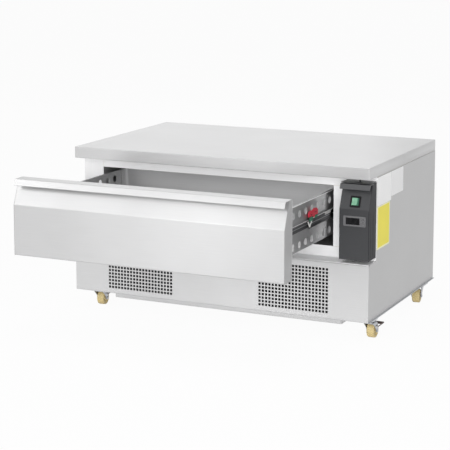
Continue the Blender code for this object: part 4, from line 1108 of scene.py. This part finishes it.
def make_caster(place):
    """A swivel caster: a fork with axle and nuts, a wheel with tyre and hub, and in front a brake pedal."""
    cheek = [(0.016, 0.0572), (-0.014, 0.0572), (-0.02, 0.053), (-0.029, 0.03), (-0.027, 0.018)]
    cheek += [(-0.013, 0.018), (-0.006, 0.034), (0.016, 0.053)]
    outline = bent(cheek, (0.003, 0.003, 0.004, 0.006, 0.006, 0.006, 0.01, 0.002), closed=True)
    inner, outer = WHEEL_HALF + 0.0025, WHEEL_HALF + 0.0045
    shapes = [carried(outline, 0, (side * inner, side * outer), closed=True) for side in (-1, 1)]
    shapes.append(slab((-outer, outer), (-0.0138, 0.0158), (0.0528, 0.0572), corner=0.004, edge_highlight=0.0014))
    centre = (0.0, -TRAIL, WHEEL_RADIUS)
    axle = [(0.0, -outer - 0.003), (0.0028, -outer - 0.003), (0.0028, outer + 0.003), (0.0, outer + 0.003)]
    shapes.append(turned(axle, 0, centre, steps=16))
    nut = [(0.0, 0.0), (0.0056, 0.0), (0.0056, 0.0016), (0.0049, 0.0024), (0.0, 0.0024)]
    for side in (-1, 1):
        nut_side = [(radius, side * (outer + along)) for radius, along in nut]
        shapes.append(turned(nut_side, 0, centre, steps=6))
    fork = [swivelled(shape, place) for shape in shapes]
    piece(f"fork_{place}", fork, zinc, f"caster_{place}", [f"caster_fork_{place}"], bevel=0.0004)

    half = WHEEL_HALF
    tread = [(0.017, -half + 0.0012), (0.018, -half), (0.0222, -half), (0.024, -half + 0.001)]
    tread += [(0.0248, -half + 0.0035), (WHEEL_RADIUS, -half + 0.0065)]
    tread += [(radius, -along) for radius, along in tread[::-1]]
    tyre = swivelled(turned(tread, 0, centre, steps=64, ring=True), place)
    piece(f"tyre_{place}", [tyre], tan, f"wheel_{place}", [f"caster_wheel_{place}"])
    boss = [(0.0034, -half), (0.009, -half), (0.0104, -half + 0.003), (0.0158, -half + 0.0036)]
    boss += [(0.0172, -half + 0.0016)]
    boss += [(radius, -along) for radius, along in boss[::-1]]
    hub = swivelled(turned(boss, 0, centre, steps=48, ring=True), place)
    piece(f"hub_{place}", [hub], tan, f"wheel_{place}")

    if place.startswith("front"):
        arm, reach, width, level = outer + 0.0036, 0.074, 0.023, (0.0387, 0.0423)
        shapes = [slab((-width, width), (-reach, -0.05), level, corner=0.006, edge_highlight=0.0012)]
        for pair in ((-width, -arm), (arm, width)):
            shapes.append(slab(pair, (-0.056, -0.012), level, corner=0.0009, edge_highlight=0.0008))
        for tread_y in PEDAL_TREADS:
            shapes.append(slab((-0.018, 0.018), (tread_y, tread_y + 0.0025), (0.042, 0.0434), corner=0.001))
        pedal = [swivelled(shape, place) for shape in shapes]
        piece(f"pedal_{place}", pedal, brown, f"pedal_{place}", [f"brake_pedal_{place}"])


for caster in CASTERS:
    make_caster(caster)


# The room, the lamps and the camera


def make_floor():
    """A pale floor. Seen straight or in gloss it is nearly white, and it keeps the object's shadow."""
    mesh = bpy.data.meshes.new("floor")
    corners = [(-1, -1, 0), (1, -1, 0), (1, 1, 0), (-1, 1, 0)]
    mesh.from_pydata((FLOOR_REACH * np.array(corners)).tolist(), [], [(0, 1, 2, 3)])
    floor = placed_object("floor", mesh)
    made = bpy.data.materials.new("pale_floor")
    made.use_nodes = True
    tree = made.node_tree
    shader = wired(tree, tree.nodes["Principled BSDF"], Base_Color=(0.9, 0.9, 0.9, 1.0), Roughness=0.9)
    wired(tree, shader, Specular_IOR_Level=0.1)
    seen_by_ray(tree, shader, added(tree, "Emission"), 0.95, 0.8, "Material Output")
    mesh.materials.append(made)


def worked_out(tree, operation, first, second):
    """The result of a sum on two values, where each is a number or comes from another node."""
    made = tree.nodes.new("ShaderNodeMath")
    made.operation = operation
    for socket, value in zip(made.inputs, (first, second)):
        if isinstance(value, float):
            socket.default_value = value
        else:
            tree.links.new(value, socket)
    return made.outputs["Value"]


def seen_by_ray(tree, usual, seen, straight, mirrored, output):
    """Mixes in what is seen: one share for straight rays, one for gloss or glass, and none for the rest."""
    path = added(tree, "LightPath").outputs
    behind = worked_out(tree, "MAXIMUM", path["Is Glossy Ray"], path["Is Transmission Ray"])
    ahead = worked_out(tree, "MULTIPLY", path["Is Camera Ray"], straight)
    behind = worked_out(tree, "MULTIPLY", behind, mirrored)
    mix = added(tree, "MixShader", Fac=worked_out(tree, "MAXIMUM", ahead, behind))
    tree.links.new(usual.outputs[0], mix.inputs[1])
    tree.links.new(seen.outputs[0], mix.inputs[2])
    wired(tree, tree.nodes[output], Surface=mix.outputs["Shader"])


def make_world():
    """White where it is seen, and a plain pale level for the light that it gives."""
    world = bpy.data.worlds.new("room")
    world.use_nodes = True
    bpy.context.scene.world = world
    tree = world.node_tree
    plain = wired(tree, tree.nodes["Background"], Color=(1.0, 1.0, 1.0, 1.0), Strength=ROOM_LEVEL)
    seen = added(tree, "Background", Color=(1.0, 1.0, 1.0, 1.0))
    seen_by_ray(tree, plain, seen, 1.0, 1.0, "World Output")


def add_lamp(name, place, aim, size, level, mirrored=True):
    """A soft box at a place, turned to face a point. At a level of 1 its face is as bright as white.

    One that isn't mirrored lights the object, but gloss doesn't show it.
    """
    lamp = bpy.data.lights.new(name, "AREA")
    lamp.shape = "RECTANGLE"
    lamp.size, lamp.size_y = size
    lamp.energy = level * math.pi * size[0] * size[1]
    made = placed_object(name, lamp)
    made.visible_glossy = mirrored
    made.location = CORNER + place
    direction = bpy.context.scene.cursor.location.copy()
    direction[:] = np.array(aim) - np.array(place)
    made.rotation_euler = direction.to_track_quat("-Z", "Y").to_euler()


def make_camera():
    """The photograph's viewpoint, lens and framing."""
    camera = bpy.data.cameras.new("camera")
    camera.lens = LENS
    camera.sensor_width = 36.0
    camera.shift_y = SHIFT_Y
    camera.clip_end = 60.0
    made = placed_object("camera", camera)
    made.location = CORNER + CAMERA_PLACE
    made.rotation_euler = (math.radians(90 - CAMERA_ELEVATION), 0.0, math.radians(CAMERA_AZIMUTH))
    bpy.context.scene.camera = made


make_floor()
make_world()
add_lamp("band", (-1.7, -5.4, 1.6), (0.6, 0.0, 0.3), (0.9, 3.0), 3.0)
add_lamp("front_middle", (1.2, -6.2, 1.9), (0.6, 0.0, 0.3), (3.2, 3.4), 2.3, mirrored=False)
add_lamp("front_right", (4.4, -4.8, 1.9), (0.6, 0.0, 0.3), (3.4, 3.4), 2.0, mirrored=False)
add_lamp("slope_glow", (-3.4, -4.1, 3.8), (0.3, -0.4, 0.45), (1.6, 1.6), 2.8)
add_lamp("right_high", (4.8, -0.3, 3.2), (1.1, 0.3, 0.5), (2.4, 2.4), 0.8)
add_lamp("left_rear", (-2.0, 5.1, 2.4), (0.5, 0.3, 0.5), (2.6, 2.6), 0.5)
add_lamp("top", (0.6, -0.5, 5.0), (0.6, 0.1, 0.5), (3.0, 3.0), 1.6)
add_lamp("low_fill", (2.7, -5.5, 0.95), (0.9, 0.0, 0.3), (2.6, 1.3), 10.5, mirrored=False)
make_camera()
bpy.context.scene.view_settings.view_transform = "Standard"
